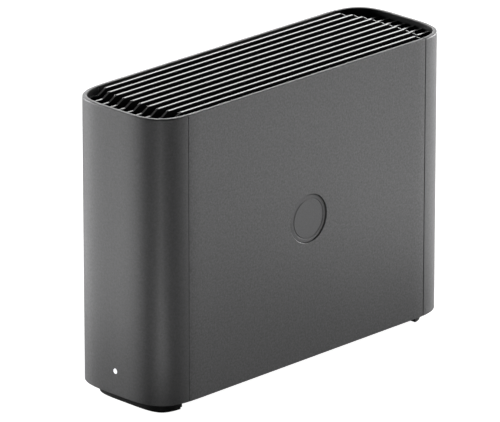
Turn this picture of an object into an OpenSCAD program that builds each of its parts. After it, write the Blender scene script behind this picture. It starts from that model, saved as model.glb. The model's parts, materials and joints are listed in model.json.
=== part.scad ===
// Upright network firewall appliance: a slim case with a finned top grille.
// Millimetres. X is the width, Y the depth with the front at -Y, Z up.
// The origin is on the surface it stands on, under the middle of the case.

/* [Case] */
// Width of the case
case_w = 62.6; // [61:0.1:70]
// Depth of the case, front to rear
case_d = 196.3; // [190:0.1:215]
// Height over the feet
case_h = 148; // [146:0.1:165]
// Thickness of the covers and side panels
wall = 2.2; // [1.8:0.1:2.5]
// Width of the straight middle of the case's ends
corner_flat = 4.6; // [3.6:0.2:10]
// Squareness of the corner curve, 2 is a circle
corner_power = 3.5; // [2.8:0.1:4]
// Depth of the front and rear covers
cover_d = 18.55; // [17.5:0.05:20]
// Open line between front cover and panels
front_seam = 0.25; // [0.15:0.05:0.5]
// Open line between rear cover and panels
rear_seam = 0.5; // [0.2:0.05:0.8]
// Width of the seating ledges inside the case
ledge_w = 1.5; // [1.2:0.1:1.8]
// Thickness of the seating ledges
ledge_t = 1.5; // [1.2:0.1:2.5]
// Thickness of the strips behind the seams
seam_strip_t = 1.2; // [0.8:0.1:1.4]
// Reach of the strips past each seam
seam_strip_reach = 4; // [2:0.5:5]

/* [Top grille] */
// Number of fins
fin_count = 10; // [8:1:11]
// Spacing of the fins
fin_pitch = 5.54; // [5:0.02:5.6]
// Thickness of a fin
fin_t = 1.8; // [1.4:0.1:2.2]
// Depth of the grille below the rim
grille_depth = 12.5; // [10:0.5:14]
// Height of the grille's ring and cross ribs
grille_ring_h = 4; // [3:0.5:6]
// Thickness of the grille's ring
grille_ring_t = 1.5; // [1.2:0.1:2.5]
// Step down at the ends of the fins
fin_step = 2.35; // [1.5:0.05:3.5]
// Setback of a fin's full height from the case end
fin_top_setback = 14.9; // [13:0.1:18]
// Setback of a fin's low end from the case end
fin_low_setback = 10.8; // [8:0.1:12]
// Number of cross ribs
rib_count = 5; // [3:1:7]
// Thickness of a cross rib
rib_t = 1.6; // [1.2:0.1:2.4]

/* [Base and feet] */
// Height of the case above the surface
foot_h = 6; // [5:0.1:8]
// Rise of the base plate above the case's lower edge
base_rise = 0.2; // [0:0.1:0.6]
// Thickness of the base plate
base_t = 3; // [2.5:0.1:4]
// Inset of the feet from the case's sides
foot_inset = 6.7; // [5.5:0.1:7.5]
// Depth of the front foot
front_foot_d = 13.4; // [12:0.1:15]
// Depth of the rear foot
rear_foot_d = 9.6; // [9:0.1:12]
// Thickness of the rubber pads
pad_t = 1.2; // [0.8:0.1:2]
// Inset of a pad from its foot's edge
pad_inset = 0.4; // [0.2:0.1:1]
// Width of an intake slot
vent_slot_w = 2.4; // [1.8:0.1:3]
// Length of an intake slot
vent_slot_l = 34; // [26:1:38]
// Spacing of the intake slots
vent_slot_pitch = 5; // [4:0.25:6]
// Intake slots before and behind the fan
vent_slot_count = 6; // [3:1:7]
// Distance from the fan to its nearest slot
vent_slot_gap = 7; // [5:0.5:9]

/* [Badge and status light] */
// Diameter of the badge recess
badge_dia = 24; // [16:0.5:34]
// Depth of the badge recess
badge_recess = 1.2; // [0.8:0.1:1.4]
// Thickness of the badge
badge_t = 0.7; // [0.4:0.1:0.8]
// Diameter of the status light
light_dia = 2.4; // [1.6:0.1:3]
// Height of the status light
light_z = 18; // [16:0.5:22]

/* [Rear panel] */
// Clearance between the port plate's edge and the rear wall
io_clear = 0.44; // [0.38:0.02:1]
// Thickness of the port plate
io_t = 1; // [0.8:0.1:1.5]
// Width of the port plate
io_w = 39.6; // [38.6:0.2:40]
// Width of the window in the rear cover
window_w = 35; // [34:0.2:36]
// Corner radius of the window
window_r = 4; // [2:0.5:5]
// Wall of the collar around the window
collar_t = 1.2; // [0.8:0.1:1.5]
// Margin of the window above and below the ports
window_margin = 4; // [3:0.5:5]
// Overlap of the port plate behind the collar
io_overlap = 2; // [1.5:0.5:3]
// Distance from the port plate's middle to the buttons
button_x = 10.8; // [10:0.1:11.4]
// Diameter of the power button
power_dia = 9; // [7:0.5:10]
// Travel of the power button
power_travel = 0.8; // [0.4:0.1:1]
// Height of the power button above the port plate
power_proud = 1; // [0.5:0.1:1.2]
// Diameter of the reset pinhole
reset_hole_dia = 1.6; // [1:0.1:2.5]
// Travel of the reset button
reset_travel = 0.5; // [0.3:0.1:0.8]
// Number of vent slots beside the ports
side_vent_count = 11; // [5:1:12]
// Spacing of the vent slots beside the ports
side_vent_pitch = 5; // [4:0.25:5.2]
// Width of the lock slot
lock_w = 3; // [3:0.1:3.5]
// Length of the lock slot
lock_l = 7; // [7:0.1:8]
// Height of the lock slot's middle
lock_z = 20; // [19:0.5:21]
// Distance from the middle to the lock slot
lock_x = 6; // [5:0.5:6.5]
// Thickness of the steel plate behind the lock slot
lock_plate_t = 1; // [0.8:0.1:1.2]

/* [Ports] */
// Width of an Ethernet jack
rj_w = 16; // [15.5:0.1:16.3]
// Height of an Ethernet jack
rj_h = 13.4; // [13:0.1:13.8]
// Depth of an Ethernet jack
rj_d = 21; // [18:0.5:21]
// Spacing of the Ethernet jacks
rj_pitch = 16.8; // [16.6:0.1:17.4]
// Width of the Ethernet plug opening
rj_open_w = 12; // [11.7:0.1:12.4]
// Height of the Ethernet plug opening
rj_open_h = 7; // [6.8:0.1:7.4]
// Depth of the Ethernet plug opening
rj_open_d = 14; // [12:0.5:15]
// Width of the latch keyway
rj_key_w = 6; // [5:0.1:6.5]
// Height of the latch keyway
rj_key_h = 2; // [1.5:0.1:2.2]
// Thickness of the metal shields
shield_t = 0.3; // [0.2:0.05:0.4]
// Width of the USB double jack
usb_w = 13; // [12.9:0.1:13.6]
// Height of the USB double jack
usb_h = 15.6; // [15.2:0.1:16]
// Depth of the USB double jack
usb_d = 17; // [15:0.5:19]
// Height of one USB opening
usb_open_h = 5.1; // [5:0.05:5.4]
// Depth of the USB openings
usb_open_d = 12; // [11:0.5:13]
// Width of the power jack
dc_w = 9; // [8.6:0.1:9.4]
// Height of the power jack
dc_h = 11; // [10.5:0.1:11.5]
// Depth of the power jack
dc_d = 14; // [12:0.5:15]
// Diameter of the power jack's socket
dc_socket_dia = 6.4; // [6:0.1:6.8]
// Diameter of the power jack's pin
dc_pin_dia = 2.1; // [1.9:0.1:2.5]
// Height of the jack faces above the port plate
port_proud = 1; // [0.5:0.1:1.2]
// Space between one kind of jack and the next
port_space = 2.2; // [2:0.1:2.6]

/* [Chassis and main board] */
// Thickness of the chassis sheet
sheet_t = 1; // [0.8:0.1:1.2]
// Depth of the chassis web
chassis_d = 164; // [160:1:168]
// Width of the chassis floor flange
floor_flange_w = 9; // [7:0.5:12]
// Width of the chassis rear flange
rear_flange_w = 5.8; // [5.4:0.1:5.9]
// Space behind the board
standoff_h = 5; // [4.8:0.1:6]
// Thickness of the board
board_t = 1.6; // [1.2:0.1:1.8]
// Depth of the board
board_d = 162; // [158:1:164]
// Setback of the board from the port plate
board_setback = 4; // [3:0.5:5]
// Lift of the board above the base plate
board_lift = 21; // [20.5:0.5:22.5]
// Margin of the board below the lowest jack
board_margin = 2; // [1:0.5:3]
// Width of the processor package
processor_w = 26; // [20:1:32]
// Thickness of the processor package
processor_t = 1.6; // [1.2:0.1:2.4]
// Thickness of the thermal pad
thermal_pad_t = 0.5; // [0.3:0.1:1]

/* [Cooling] */
// Width of the square heat sink
sink_w = 60; // [54:1:62]
// Thickness of the heat sink's base
sink_base_t = 3; // [2:0.5:4]
// Height of the heat sink's fins
sink_fin_h = 16; // [10:1:20]
// Thickness of the heat sink's fins
sink_fin_t = 1.2; // [0.8:0.1:1.6]
// Number of the heat sink's fins
sink_fin_count = 13; // [9:1:15]
// Width of the square fan
fan_w = 40; // [40:0.5:41]
// Depth of the fan
fan_h = 20; // [18:0.5:20]
// Spacing of the fan's screw holes
fan_hole_pitch = 32; // [31:0.5:33]
// Diameter of the fan's air duct
fan_duct_dia = 38; // [37:0.5:39]
// Diameter of the rotor's hub
hub_dia = 23; // [20:0.5:25]
// Diameter of the fan's shaft
shaft_dia = 2; // [1.5:0.1:2.5]
// Number of fan blades
blade_count = 7; // [5:1:9]
// Tilt of the fan blades
blade_tilt = 38; // [30:1:45]

/* [Fasteners and fits] */
// Diameter of the case screws
case_screw_dia = 3; // [2.5:0.1:3.2]
// Diameter of the small screws
small_screw_dia = 2.5; // [2:0.1:2.8]
// Gap where one still piece fits in another
fit_gap = 0.15; // [0.1:0.05:0.3]
// Gap around moving buttons
button_gap = 0.3; // [0.2:0.05:0.4]
// Gap around the fan's shaft
shaft_gap = 0.05; // [0.02:0.01:0.08]

/* [Hidden] */
$fn = 48;

// Overlap that joins two shapes of one piece, and the overshoot of a cut
bite = 0.2;
over = 1;
corner_steps = 16;

// Case levels and seams
corner_reach = (case_w - corner_flat) / 2;
end_y = case_d / 2;
seam_y = end_y - cover_d;
strip_gap = 1;
strip_in = 5;
base_z = foot_h + base_rise;
base_top = base_z + base_t;
grille_z = case_h - grille_depth;
base_inset = wall + fit_gap;

// Feet and case screws
front_foot_y = end_y - foot_inset - front_foot_d / 2;
rear_foot_y = end_y - foot_inset - rear_foot_d / 2;
case_screw_x = 14;
screw_head_h = 2;
case_head_dia = case_screw_dia * 1.9;
small_head_dia = small_screw_dia * 1.7;
case_head_z = pad_t + 0.4;
boss_dia = case_screw_dia + 3.4;
boss_h = 12;
boss_rib_t = 2;
boss_roof_t = 1;
case_screw_end = 2;
socket_dia = 0.8;
socket_depth = 1.1;
head_gap = 0.3;

// Open rings of the fan's air intake
intake_hub_dia = 10;
intake_rings = [9.2, 13.6];
intake_ring_w = 1.3;
intake_rib_w = 2;
intake_edge = 0.5;

// Rear panel and board planes
io_y = outline_y(io_w / 2) - wall - io_clear;
io_recess = end_y - io_y;
port_face_y = io_y + port_proud;
web_x = -io_w / 2;
board_x = web_x + sheet_t + standoff_h;
board_face = board_x + board_t;
board_rear = io_y - board_setback;
board_front = board_rear - board_d;

// Port column, from the bottom up
board_z = base_top + board_lift;
dc_z = board_z + board_margin + dc_w / 2;
rj_z = dc_z + dc_w / 2 + port_space + rj_w / 2;
rj_count = 4;
rj_top = rj_z + (rj_count - 1) * rj_pitch + rj_w / 2;
usb_z = rj_top + port_space + usb_w / 2;
ports_top = usb_z + usb_w / 2;
board_top = ports_top + board_margin;
board_h = board_top - board_z;
window_z = dc_z - dc_w / 2 - window_margin;
window_h = ports_top + window_margin - window_z;
io_z = window_z - io_overlap;
io_h = window_h + 2 * io_overlap;
chassis_top = io_z + io_h;
io_screw_x = web_x + 4.7;
io_screw_z = [rj_z + 4, rj_z + 50];
lock_margin = [2.5, 3];

// Inside the jacks
rj_open_rise = 2.2;
contact_count = 8;
contact_pitch = 1.02;
contact_w = 0.4;
contact_rise = 1.6;
contact_l = 9;
contact_setback = 1.5;
tongue_t = 1.8;
tongue_gap = 0.8;
tongue_side = 1;
tongue_setback = 2;
dc_floor_t = 3;
dc_roof_t = 1.4;
dc_pin_setback = 1;

// Buttons on their small board
power_z = ports_top - 9.5;
reset_z = power_z - 15;
post_z = (power_z + reset_z) / 2;
post_dia = 3.6;
post_hole_l = 5;
switch_w = 6;
switch_h = 3.5;
switch_well = 2.6;
switch_rest = 0.7;
button_board_t = 1.6;
usb_side_gap = 0.5;
button_board_w = 2 * (button_x - board_face - usb_h - usb_side_gap);
button_board_edge = 5;
button_board_h = power_z - reset_z + 2 * button_board_edge;
post_spread = button_board_w / 2 - post_dia / 2 - 0.4;
power_flange = 1;
power_flange_w = 0.8;
flange_y = io_y - io_t - button_gap;
stem_l = 3;
stem_dia = 3;
stem_in = 1.2;
switch_y = flange_y - power_flange - stem_l + stem_in;
button_board_y = switch_y - switch_h;
reset_stem_l = switch_rest + 2;
vent_z = reset_z - 8;
side_vent_x = button_x - 1;
side_vent_l = 12;
side_vent_w = 2.6;
round_end = 0.01;

// Processor, heat sink and fan share one middle line
processor_y = board_rear - 80;
processor_z = board_z + 60;
sink_x = board_face + processor_t + thermal_pad_t;
sink_hole = sink_w / 2 - 4;
sink_head_gap = 1;
sink_screw_spots = [
    for (y = [-1, 1], z = [-1, 1]) [processor_y + y * sink_hole, processor_z + z * sink_hole]
];
fan_x = 3;
fan_y = processor_y;
fan_top = base_top + fan_h;
rotor_gap = 0.6;
rotor_z = base_top + 1.4;
strut_h = 2;
strut_w = 2;
strut_angle = 20;
rotor_top = fan_top - strut_h - 0.8;
hub_floor_t = 2;
hub_wall = 2;
blade_t = 1.2;
shaft_end = 1.5;
stator_dia = hub_dia - 6;
stator_gap = 1;
bearing_dia = 6;
bearing_z = 5;
bearing_roof_t = 0.5;
sink_fin_pitch = (sink_w - sink_fin_t) / (sink_fin_count - 1);

// Board places, from its rear edge and its lower edge
memory_y = board_rear - 128;
memory_z = board_z + 24;
memory_l = 67.6;
memory_w = 30;
memory_t = 1;
memory_rise = 3.4;
memory_in = 4;
memory_chip = [1.1, 10, 13];
memory_chip_y = 16;
memory_chip_z = 3;
memory_chip_pitch = 16;
socket_l = 72;
socket_w = 6;
socket_h = 5.2;
ssd_y = board_rear - 30;
ssd_z = board_z + 14;
ssd_l = 80;
ssd_w = 22;
ssd_lift = 2.4;
ssd_t = 0.8;
ssd_in = 2;
ssd_socket_w = 7;
ssd_socket_h = 4.2;
ssd_chip = [1.2, 16, 14];
ssd_chip_y = [14, 34, 54];
cell_y = board_rear - 32;
cell_z = board_z + 74;
cell_dia = 20;
cell_t = 3.2;
cell_wall = 1.5;
cell_floor_t = 1;
cell_holder_h = 3.4;
network_chip = [1.2, 11, 11];
network_chip_spot = [board_rear - 42, board_z + 33];
network_chip_pitch = 14;
capacitor_dia = 6.3;
capacitor_h = 7.7;
capacitor_spot = [board_rear - 20.5, board_z + 8];
capacitor_pitch = 9;
inductor = [4, 7, 7];
inductor_gap = 2.8;
inductor_y = board_front + 10;
inductor_z = memory_z - (socket_l - memory_l) / 2 - inductor_gap - inductor.z;
inductor_pitch = 10;
header_w = 8;
header_h = 4;
standoff_spots = [
    [board_front + 5, board_z + 5], [board_front + 5, board_top - 6],
    [board_front + 72, board_z + 3], [board_front + 72, board_top - 3],
    [board_rear - 26, board_top - 6], [board_rear - 14, board_z + 5],
    [board_rear - 26, board_z + 40]
];
standoff_dia = 4.6;

// Status light
led_board_y = -end_y + wall + 7.5;
led_board_t = 1.6;
led_board_w = 16;
led_board_h = 16;
led_board_side = 0.8;
led_t = 1.5;
led_w = 3.2;
led_post_w = 3;
led_post_wall = 1.5;
led_post_h = 10;
led_groove = 1;
pipe_flange_w = 1;
pipe_flange_t = 1;

// Flat screws that hold the chassis to the base plate
chassis_screw_x = web_x + floor_flange_w / 2 + 1;
chassis_screw_y = [board_front + 12, board_rear - 24];
floor_flange_l = 16;
air_hole = [16, 9];
air_hole_pitch = 34;
air_hole_z = base_top + 6;
air_hole_count = 4;
board_screw_end = 4;
flat_head_t = 1.2;
fan_screw_in = 6;
fan_hole = fan_hole_pitch / 2;
fan_screw_spots = [for (x = [-1, 1], y = [-1, 1]) [fan_x + x * fan_hole, fan_y + y * fan_hole]];
chassis_screw_spots = [for (y = chassis_screw_y) [chassis_screw_x, y]];
flat_screw_spots = concat(fan_screw_spots, chassis_screw_spots);

// Lead routes, by hand
lead_dia = 2;
lead_sides = 8;
lead_steps = 4;
header_x = board_face + 2.4;
fan_header = [fan_y - 36, board_z + 3.5];
led_header = [led_board_y + 32, board_z + 3.5];
button_header = [button_board_y - 15, power_z + 5];
fan_lead_route = [
    [-12, fan_y - fan_w / 2, fan_top - 3], [-12, fan_y - 24, fan_top - 3], [-8, fan_y - 30, fan_top],
    [-4, fan_y - 35, fan_top + 3], [header_x + 4, fan_header.x, fan_header.y],
    [header_x, fan_header.x, fan_header.y]
];
led_lead_route = [
    [0, led_board_y + led_board_t, 20], [0, led_board_y + 6, 20], [0, led_board_y + 14, 23],
    [-2, led_board_y + 24, 30], [header_x + 4, led_header.x, led_header.y],
    [header_x, led_header.x, led_header.y]
];
button_lead_route = [
    [8, button_board_y - button_board_t, power_z + 2], [8, button_board_y - 5, power_z + 2],
    [6, button_board_y - 10, power_z + 4], [0, button_board_y - 15, power_z + 5],
    [header_x + 4, button_header.x, button_header.y], [header_x, button_header.x, button_header.y]
];

// ---- Outlines ----

// A point of the corner curve and its outward direction, both at angle t
function corner_point(t) = corner_reach * [pow(cos(t), 2 / corner_power), pow(sin(t), 2 / corner_power)];
function corner_normal(t) =
    let (n = [pow(cos(t), 2 - 2 / corner_power), pow(sin(t), 2 - 2 / corner_power)]) n / norm(n);

// One quarter of the case outline, moved inwards by inset
function quarter(inset) = [
    for (i = [0:corner_steps])
        let (t = 90 * i / corner_steps)
        [case_w / 2 - corner_reach, end_y - corner_reach] + corner_point(t) - inset * corner_normal(t)
];
function outline(inset) =
    let (q = quarter(inset), n = corner_steps)
    concat(
        q,
        [for (i = [n:-1:0]) [-q[i].x, q[i].y]],
        [for (i = [0:n]) [-q[i].x, -q[i].y]],
        [for (i = [n:-1:0]) [q[i].x, -q[i].y]]
    );

// Half the depth of the case outline at a distance x from the middle
function outline_y(x) =
    let (u = max(0, abs(x) - (case_w / 2 - corner_reach)) / corner_reach)
    end_y - corner_reach + corner_reach * pow(1 - pow(u, corner_power), 1 / corner_power);

module plate(inset, z, h) {
    translate([0, 0, z]) linear_extrude(h) polygon(outline(inset));
}

module band(inset, t, z, h) {
    translate([0, 0, z]) linear_extrude(h) difference() {
        polygon(outline(inset));
        polygon(outline(inset + t));
    }
}

// Everything between two depths, on both sides of the middle or on one
module slab(y1, y2, x1 = -case_w, x2 = case_w) {
    translate([x1, y1, -over]) cube([x2 - x1, y2 - y1, case_h + 2 * over]);
}

module rod_x(d, x, l) { translate([x, 0, 0]) rotate([0, 90, 0]) cylinder(d = d, h = l); }
module rod_y(d, y, l) { translate([0, y, 0]) rotate([-90, 0, 0]) cylinder(d = d, h = l); }

module rounded_window(w, h, r, y, d) {
    translate([0, y + d, 0]) rotate([90, 0, 0]) linear_extrude(d) {
        square([w - 2 * r, h], center = true);
        square([w, h - 2 * r], center = true);
        for (x = [-1, 1], z = [-1, 1])
            translate([x * (w / 2 - r), z * (h / 2 - r)]) circle(r);
    }
}

// ---- Case ----

module wall_with_ledges() {
    band(0, wall, foot_h, case_h - foot_h);
    band(wall - bite, ledge_w + bite, base_top, ledge_t);
    band(wall - bite, ledge_w + bite, grille_z - ledge_t, ledge_t);
}

// A screw boss on the inside of a cover's wall, y is its place and end its wall
module screw_boss(x, y, end) {
    wall_y = end * (outline_y(x) - wall);
    difference() {
        union() {
            translate([x, y, base_top]) cylinder(d = boss_dia, h = boss_h);
            translate([x - boss_rib_t / 2, min(y, wall_y - end * bite), base_top])
                cube([boss_rib_t, abs(wall_y + end * bite - y), boss_h]);
        }
        translate([x, y, base_top - over])
            cylinder(d = case_screw_dia + 2 * fit_gap, h = boss_h - boss_roof_t + over);
    }
}

module front_cover() {
    color("#4f5052") difference() {
        union() {
            intersection() {
                wall_with_ledges();
                slab(-case_d, -seam_y - front_seam);
            }
            for (x = [-1, 1]) screw_boss(x * case_screw_x, -front_foot_y, -1);
        }
        translate([0, 0, light_z]) rod_y(light_dia + 2 * fit_gap, -end_y - over, wall + 2 * over);
    }
}

module window_place() { translate([0, 0, window_z + window_h / 2]) children(); }

module rear_cover() {
    color("#4f5052") difference() {
        union() {
            intersection() {
                wall_with_ledges();
                slab(seam_y + rear_seam, case_d);
            }
            for (x = [-1, 1]) screw_boss(x * case_screw_x, rear_foot_y, 1);
            window_place()
                rounded_window(window_w + 2 * collar_t, window_h + 2 * collar_t, window_r + collar_t,
                    io_y, io_recess - wall + bite);
        }
        window_place() rounded_window(window_w, window_h, window_r, io_y - over, io_recess + 2 * over);
        lock_slot();
    }
}

// The panel on the right, seen from the front: the flat wall between the seams
module plain_panel() {
    strip_z = base_top + ledge_t + strip_gap;
    strip_h = grille_z - ledge_t - strip_gap - strip_z;
    intersection() {
        wall_with_ledges();
        slab(-seam_y, seam_y, 0);
    }
    for (y = [-1, 1]) {
        intersection() {
            band(wall - bite, seam_strip_t + bite, strip_z, strip_h);
            slab(y > 0 ? seam_y - strip_in : -seam_y, y > 0 ? seam_y : strip_in - seam_y, 0);
        }
        intersection() {
            band(wall + fit_gap, seam_strip_t - fit_gap, strip_z, strip_h);
            slab(y > 0 ? seam_y - strip_in : -seam_y - seam_strip_reach,
                y > 0 ? seam_y + seam_strip_reach : strip_in - seam_y, 0);
        }
    }
}

module badge_place() { translate([case_w / 2 - badge_recess, 0, (case_h + foot_h) / 2]) children(); }

module right_side_panel() {
    color("#46474a") difference() {
        plain_panel();
        badge_place() rod_x(badge_dia, 0, badge_recess + over);
    }
}

module left_side_panel() { color("#46474a") mirror([1, 0, 0]) plain_panel(); }

module side_badge() {
    color("#55565a") badge_place() rod_x(badge_dia - 2 * fit_gap, 0, badge_t);
}

// ---- Top grille ----

module grille_fin(x) {
    end = outline_y(x);
    low = case_h - fin_step;
    translate([x + fin_t / 2, 0, 0]) rotate([90, 0, -90]) linear_extrude(fin_t) polygon([
        [-end, grille_z], [-end, low], [-end + fin_low_setback, low], [-end + fin_top_setback, case_h],
        [end - fin_top_setback, case_h], [end - fin_low_setback, low], [end, low], [end, grille_z]
    ]);
}

module top_grille() {
    color("#2b2c2e") {
        intersection() {
            union() {
                for (i = [0:fin_count - 1]) grille_fin((i - (fin_count - 1) / 2) * fin_pitch);
                for (i = [0:rib_count - 1])
                    translate([-case_w / 2, ((i + 0.5) / rib_count - 0.5) * 2 * seam_y - rib_t / 2, grille_z])
                        cube([case_w, rib_t, grille_ring_h]);
            }
            plate(base_inset, grille_z - over, grille_depth + 2 * over);
        }
        band(base_inset, grille_ring_t, grille_z, grille_ring_h);
    }
}

// ---- Base and feet ----

// Open rings of the fan's air intake
module fan_intake() {
    difference() {
        circle(d = fan_duct_dia - 2 * intake_edge);
        circle(d = intake_hub_dia);
        for (r = intake_rings) difference() {
            circle(r + intake_ring_w);
            circle(r);
        }
        for (a = [45, 135]) rotate(a) square([fan_duct_dia, intake_rib_w], center = true);
    }
}

module base_holes() {
    for (x = [-1, 1], y = [-front_foot_y, rear_foot_y])
        translate([x * case_screw_x, y]) circle(d = case_screw_dia + 2 * fit_gap);
    for (s = flat_screw_spots) translate(s) circle(d = small_screw_dia + 2 * fit_gap);
}

module intake_slots() {
    for (side = [-1, 1], i = [0:vent_slot_count - 1])
        translate([fan_x, fan_y + side * (fan_w / 2 + vent_slot_gap + i * vent_slot_pitch)]) {
            square([vent_slot_l - vent_slot_w, vent_slot_w], center = true);
            for (x = [-1, 1]) translate([x * (vent_slot_l - vent_slot_w) / 2, 0]) circle(d = vent_slot_w);
        }
}

module flat_head_seats() {
    for (s = flat_screw_spots) translate([s.x, s.y, base_z - over])
        cylinder(d = small_head_dia + 2 * head_gap, h = over + flat_head_t);
}

// Two grooved posts that hold the status light's board upright
module led_posts() {
    for (x = [-1, 1]) difference() {
        translate([x * led_board_w / 2 - led_post_w / 2, led_board_y - led_post_wall, base_top - bite])
            cube([led_post_w, led_board_t + 2 * led_post_wall, led_post_h]);
        translate([x * led_board_w / 2 - led_post_w / 2 - x * led_groove / 2, led_board_y - fit_gap, base_top])
            cube([led_post_w, led_board_t + 2 * fit_gap, led_board_h]);
    }
}

module base_plate() {
    color("#2b2c2e") {
        difference() {
            translate([0, 0, base_z]) linear_extrude(base_t) difference() {
                polygon(outline(base_inset));
                translate([fan_x, fan_y]) fan_intake();
                intake_slots();
                base_holes();
            }
            flat_head_seats();
        }
        led_posts();
    }
}

// The foot's outline at one end of the case, end is -1 in front and 1 behind
module foot_outline(inset, end, d) {
    edge = end_y - foot_inset - d + inset;
    intersection() {
        polygon(outline(foot_inset + inset));
        translate([-case_w, end > 0 ? edge : -case_d]) square([2 * case_w, case_d - edge]);
    }
}

function foot_middle(end) = end > 0 ? rear_foot_y : -front_foot_y;

module foot(end, d) {
    difference() {
        translate([0, 0, pad_t]) linear_extrude(base_z - pad_t) foot_outline(0, end, d);
        for (x = [-1, 1]) translate([x * case_screw_x, foot_middle(end), 0]) {
            cylinder(d = case_screw_dia + 2 * fit_gap, h = foot_h + over);
            cylinder(d = case_head_dia + 2 * head_gap, h = case_head_z + screw_head_h);
        }
    }
}

module front_foot() { color("#1d1d1f") foot(-1, front_foot_d); }
module rear_foot() { color("#1d1d1f") foot(1, rear_foot_d); }
module front_foot_pad() { color("#101011") linear_extrude(pad_t) foot_outline(pad_inset, -1, front_foot_d); }
module rear_foot_pad() { color("#101011") linear_extrude(pad_t) foot_outline(pad_inset, 1, rear_foot_d); }

// A screw that points up, its head's bearing face at the origin
module screw(d, head, l) {
    translate([0, 0, -screw_head_h]) difference() {
        cylinder(d = head, h = screw_head_h);
        translate([0, 0, -over]) cylinder(d = d * socket_dia, h = over + socket_depth, $fn = 6);
    }
    translate([0, 0, -bite]) cylinder(d = d, h = l + bite);
}

// The same screw with a thin flat head
module flat_screw(d, head, l) {
    translate([0, 0, -flat_head_t]) cylinder(d = head, h = flat_head_t);
    translate([0, 0, -bite]) cylinder(d = d, h = l + bite);
}

module case_screws() {
    color("#9a9da1") for (x = [-1, 1], end = [-1, 1])
        translate([x * case_screw_x, foot_middle(end), case_head_z + screw_head_h])
            screw(case_screw_dia, case_head_dia, base_top + boss_h - case_screw_end - case_head_z - screw_head_h);
}

// ---- Chassis ----

module chassis_frame() {
    rear = io_y - io_t;
    front = rear - chassis_d;
    notch = cover_d;
    color("#a6a9ac") difference() {
        union() {
            translate([web_x, 0, 0]) rotate([90, 0, 90]) linear_extrude(sheet_t) polygon([
                [front, base_top], [rear - notch, base_top], [rear - notch, io_z], [rear, io_z],
                [rear, chassis_top], [front, chassis_top]
            ]);
            for (y = chassis_screw_y)
                translate([web_x, y - floor_flange_l / 2, base_top])
                    cube([floor_flange_w, floor_flange_l, sheet_t]);
            translate([web_x, rear - sheet_t, io_z]) cube([rear_flange_w, sheet_t, io_h]);
        }
        for (s = standoff_spots) translate([0, s[0], s[1]])
            rod_x(small_screw_dia, web_x - over, sheet_t + 2 * over);
        for (y = chassis_screw_y) translate([chassis_screw_x, y, base_top - over])
            cylinder(d = small_screw_dia + 2 * fit_gap, h = sheet_t + 2 * over);
        for (z = io_screw_z) translate([io_screw_x, 0, z])
            rod_y(small_screw_dia + 2 * fit_gap, rear - sheet_t - over, sheet_t + 2 * over);
        // air openings below the board
        for (i = [0:air_hole_count - 1])
            translate([web_x - over, front + air_hole.x + i * air_hole_pitch, air_hole_z])
                cube([sheet_t + 2 * over, air_hole.x, air_hole.y]);
    }
}

module chassis_screws() {
    color("#9a9da1") for (s = chassis_screw_spots) translate([s.x, s.y, base_z + flat_head_t])
        flat_screw(small_screw_dia, small_head_dia, base_t + 1);
}

// ---- Rear panel ----

module io_cutouts() {
    x0 = board_face - fit_gap;
    for (c = [
        [dc_z - dc_w / 2, dc_w, dc_h],
        [rj_z - rj_w / 2, rj_top - rj_z + rj_w / 2, rj_h],
        [usb_z - usb_w / 2, usb_w, usb_h]
    ])
        translate([x0, io_y - io_t - over, c[0] - fit_gap])
            cube([c[2] + 2 * fit_gap, io_t + 2 * over, c[1] + 2 * fit_gap]);
}

module io_plate() {
    behind = io_y - io_t - over;
    through = io_t + 2 * over;
    color("#1b1c1e") difference() {
        translate([-io_w / 2, io_y - io_t, io_z]) cube([io_w, io_t, io_h]);
        io_cutouts();
        translate([button_x, 0, power_z]) rod_y(power_dia + 2 * button_gap, behind, through);
        translate([button_x, 0, reset_z]) rod_y(reset_hole_dia, behind, through);
        for (z = io_screw_z) translate([io_screw_x, 0, z])
            rod_y(small_screw_dia + 2 * fit_gap, behind, through);
        for (i = [0:side_vent_count - 1]) translate([side_vent_x, 0, vent_z - i * side_vent_pitch])
            rounded_window(side_vent_l, side_vent_w, side_vent_w / 2 - round_end, behind, through);
    }
}

module io_plate_screws() {
    color("#9a9da1") for (z = io_screw_z) translate([io_screw_x, io_y, z]) rotate([90, 0, 0])
        flat_screw(small_screw_dia, small_head_dia, io_t + sheet_t + 2);
}

module lock_slot() {
    translate([lock_x, 0, lock_z])
        rounded_window(lock_l, lock_w, lock_w / 2 - round_end, end_y - wall - 3 * over, wall + 4 * over);
}

// Steel behind the lock slot, bent to the inside of the rear cover
module lock_plate() {
    plate_l = lock_l + 2 * lock_margin.x;
    plate_h = lock_w + 2 * lock_margin.y;
    color("#a6a9ac") difference() {
        intersection() {
            band(wall, lock_plate_t, lock_z - plate_h / 2, plate_h);
            slab(seam_y, case_d, lock_x - plate_l / 2, lock_x + plate_l / 2);
        }
        lock_slot();
    }
}

// ---- Ports ----

function jack_z(i) = rj_z + i * rj_pitch;

module ethernet_jack(i) {
    x0 = board_face + shield_t;
    open_x = x0 + rj_open_rise;
    color("#1a1a1c") difference() {
        translate([x0, port_face_y - rj_d + shield_t, jack_z(i) - rj_w / 2 + shield_t])
            cube([rj_h - 2 * shield_t, rj_d - 2 * shield_t, rj_w - 2 * shield_t]);
        translate([open_x, port_face_y - rj_open_d, jack_z(i) - rj_open_w / 2])
            cube([rj_open_h, rj_open_d + over, rj_open_w]);
        translate([open_x + rj_open_h - over, port_face_y - rj_open_d, jack_z(i) - rj_key_w / 2])
            cube([rj_key_h + over, rj_open_d + over, rj_key_w]);
    }
}

module ethernet_jack_1() { ethernet_jack(0); }
module ethernet_jack_2() { ethernet_jack(1); }
module ethernet_jack_3() { ethernet_jack(2); }
module ethernet_jack_4() { ethernet_jack(3); }

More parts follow.
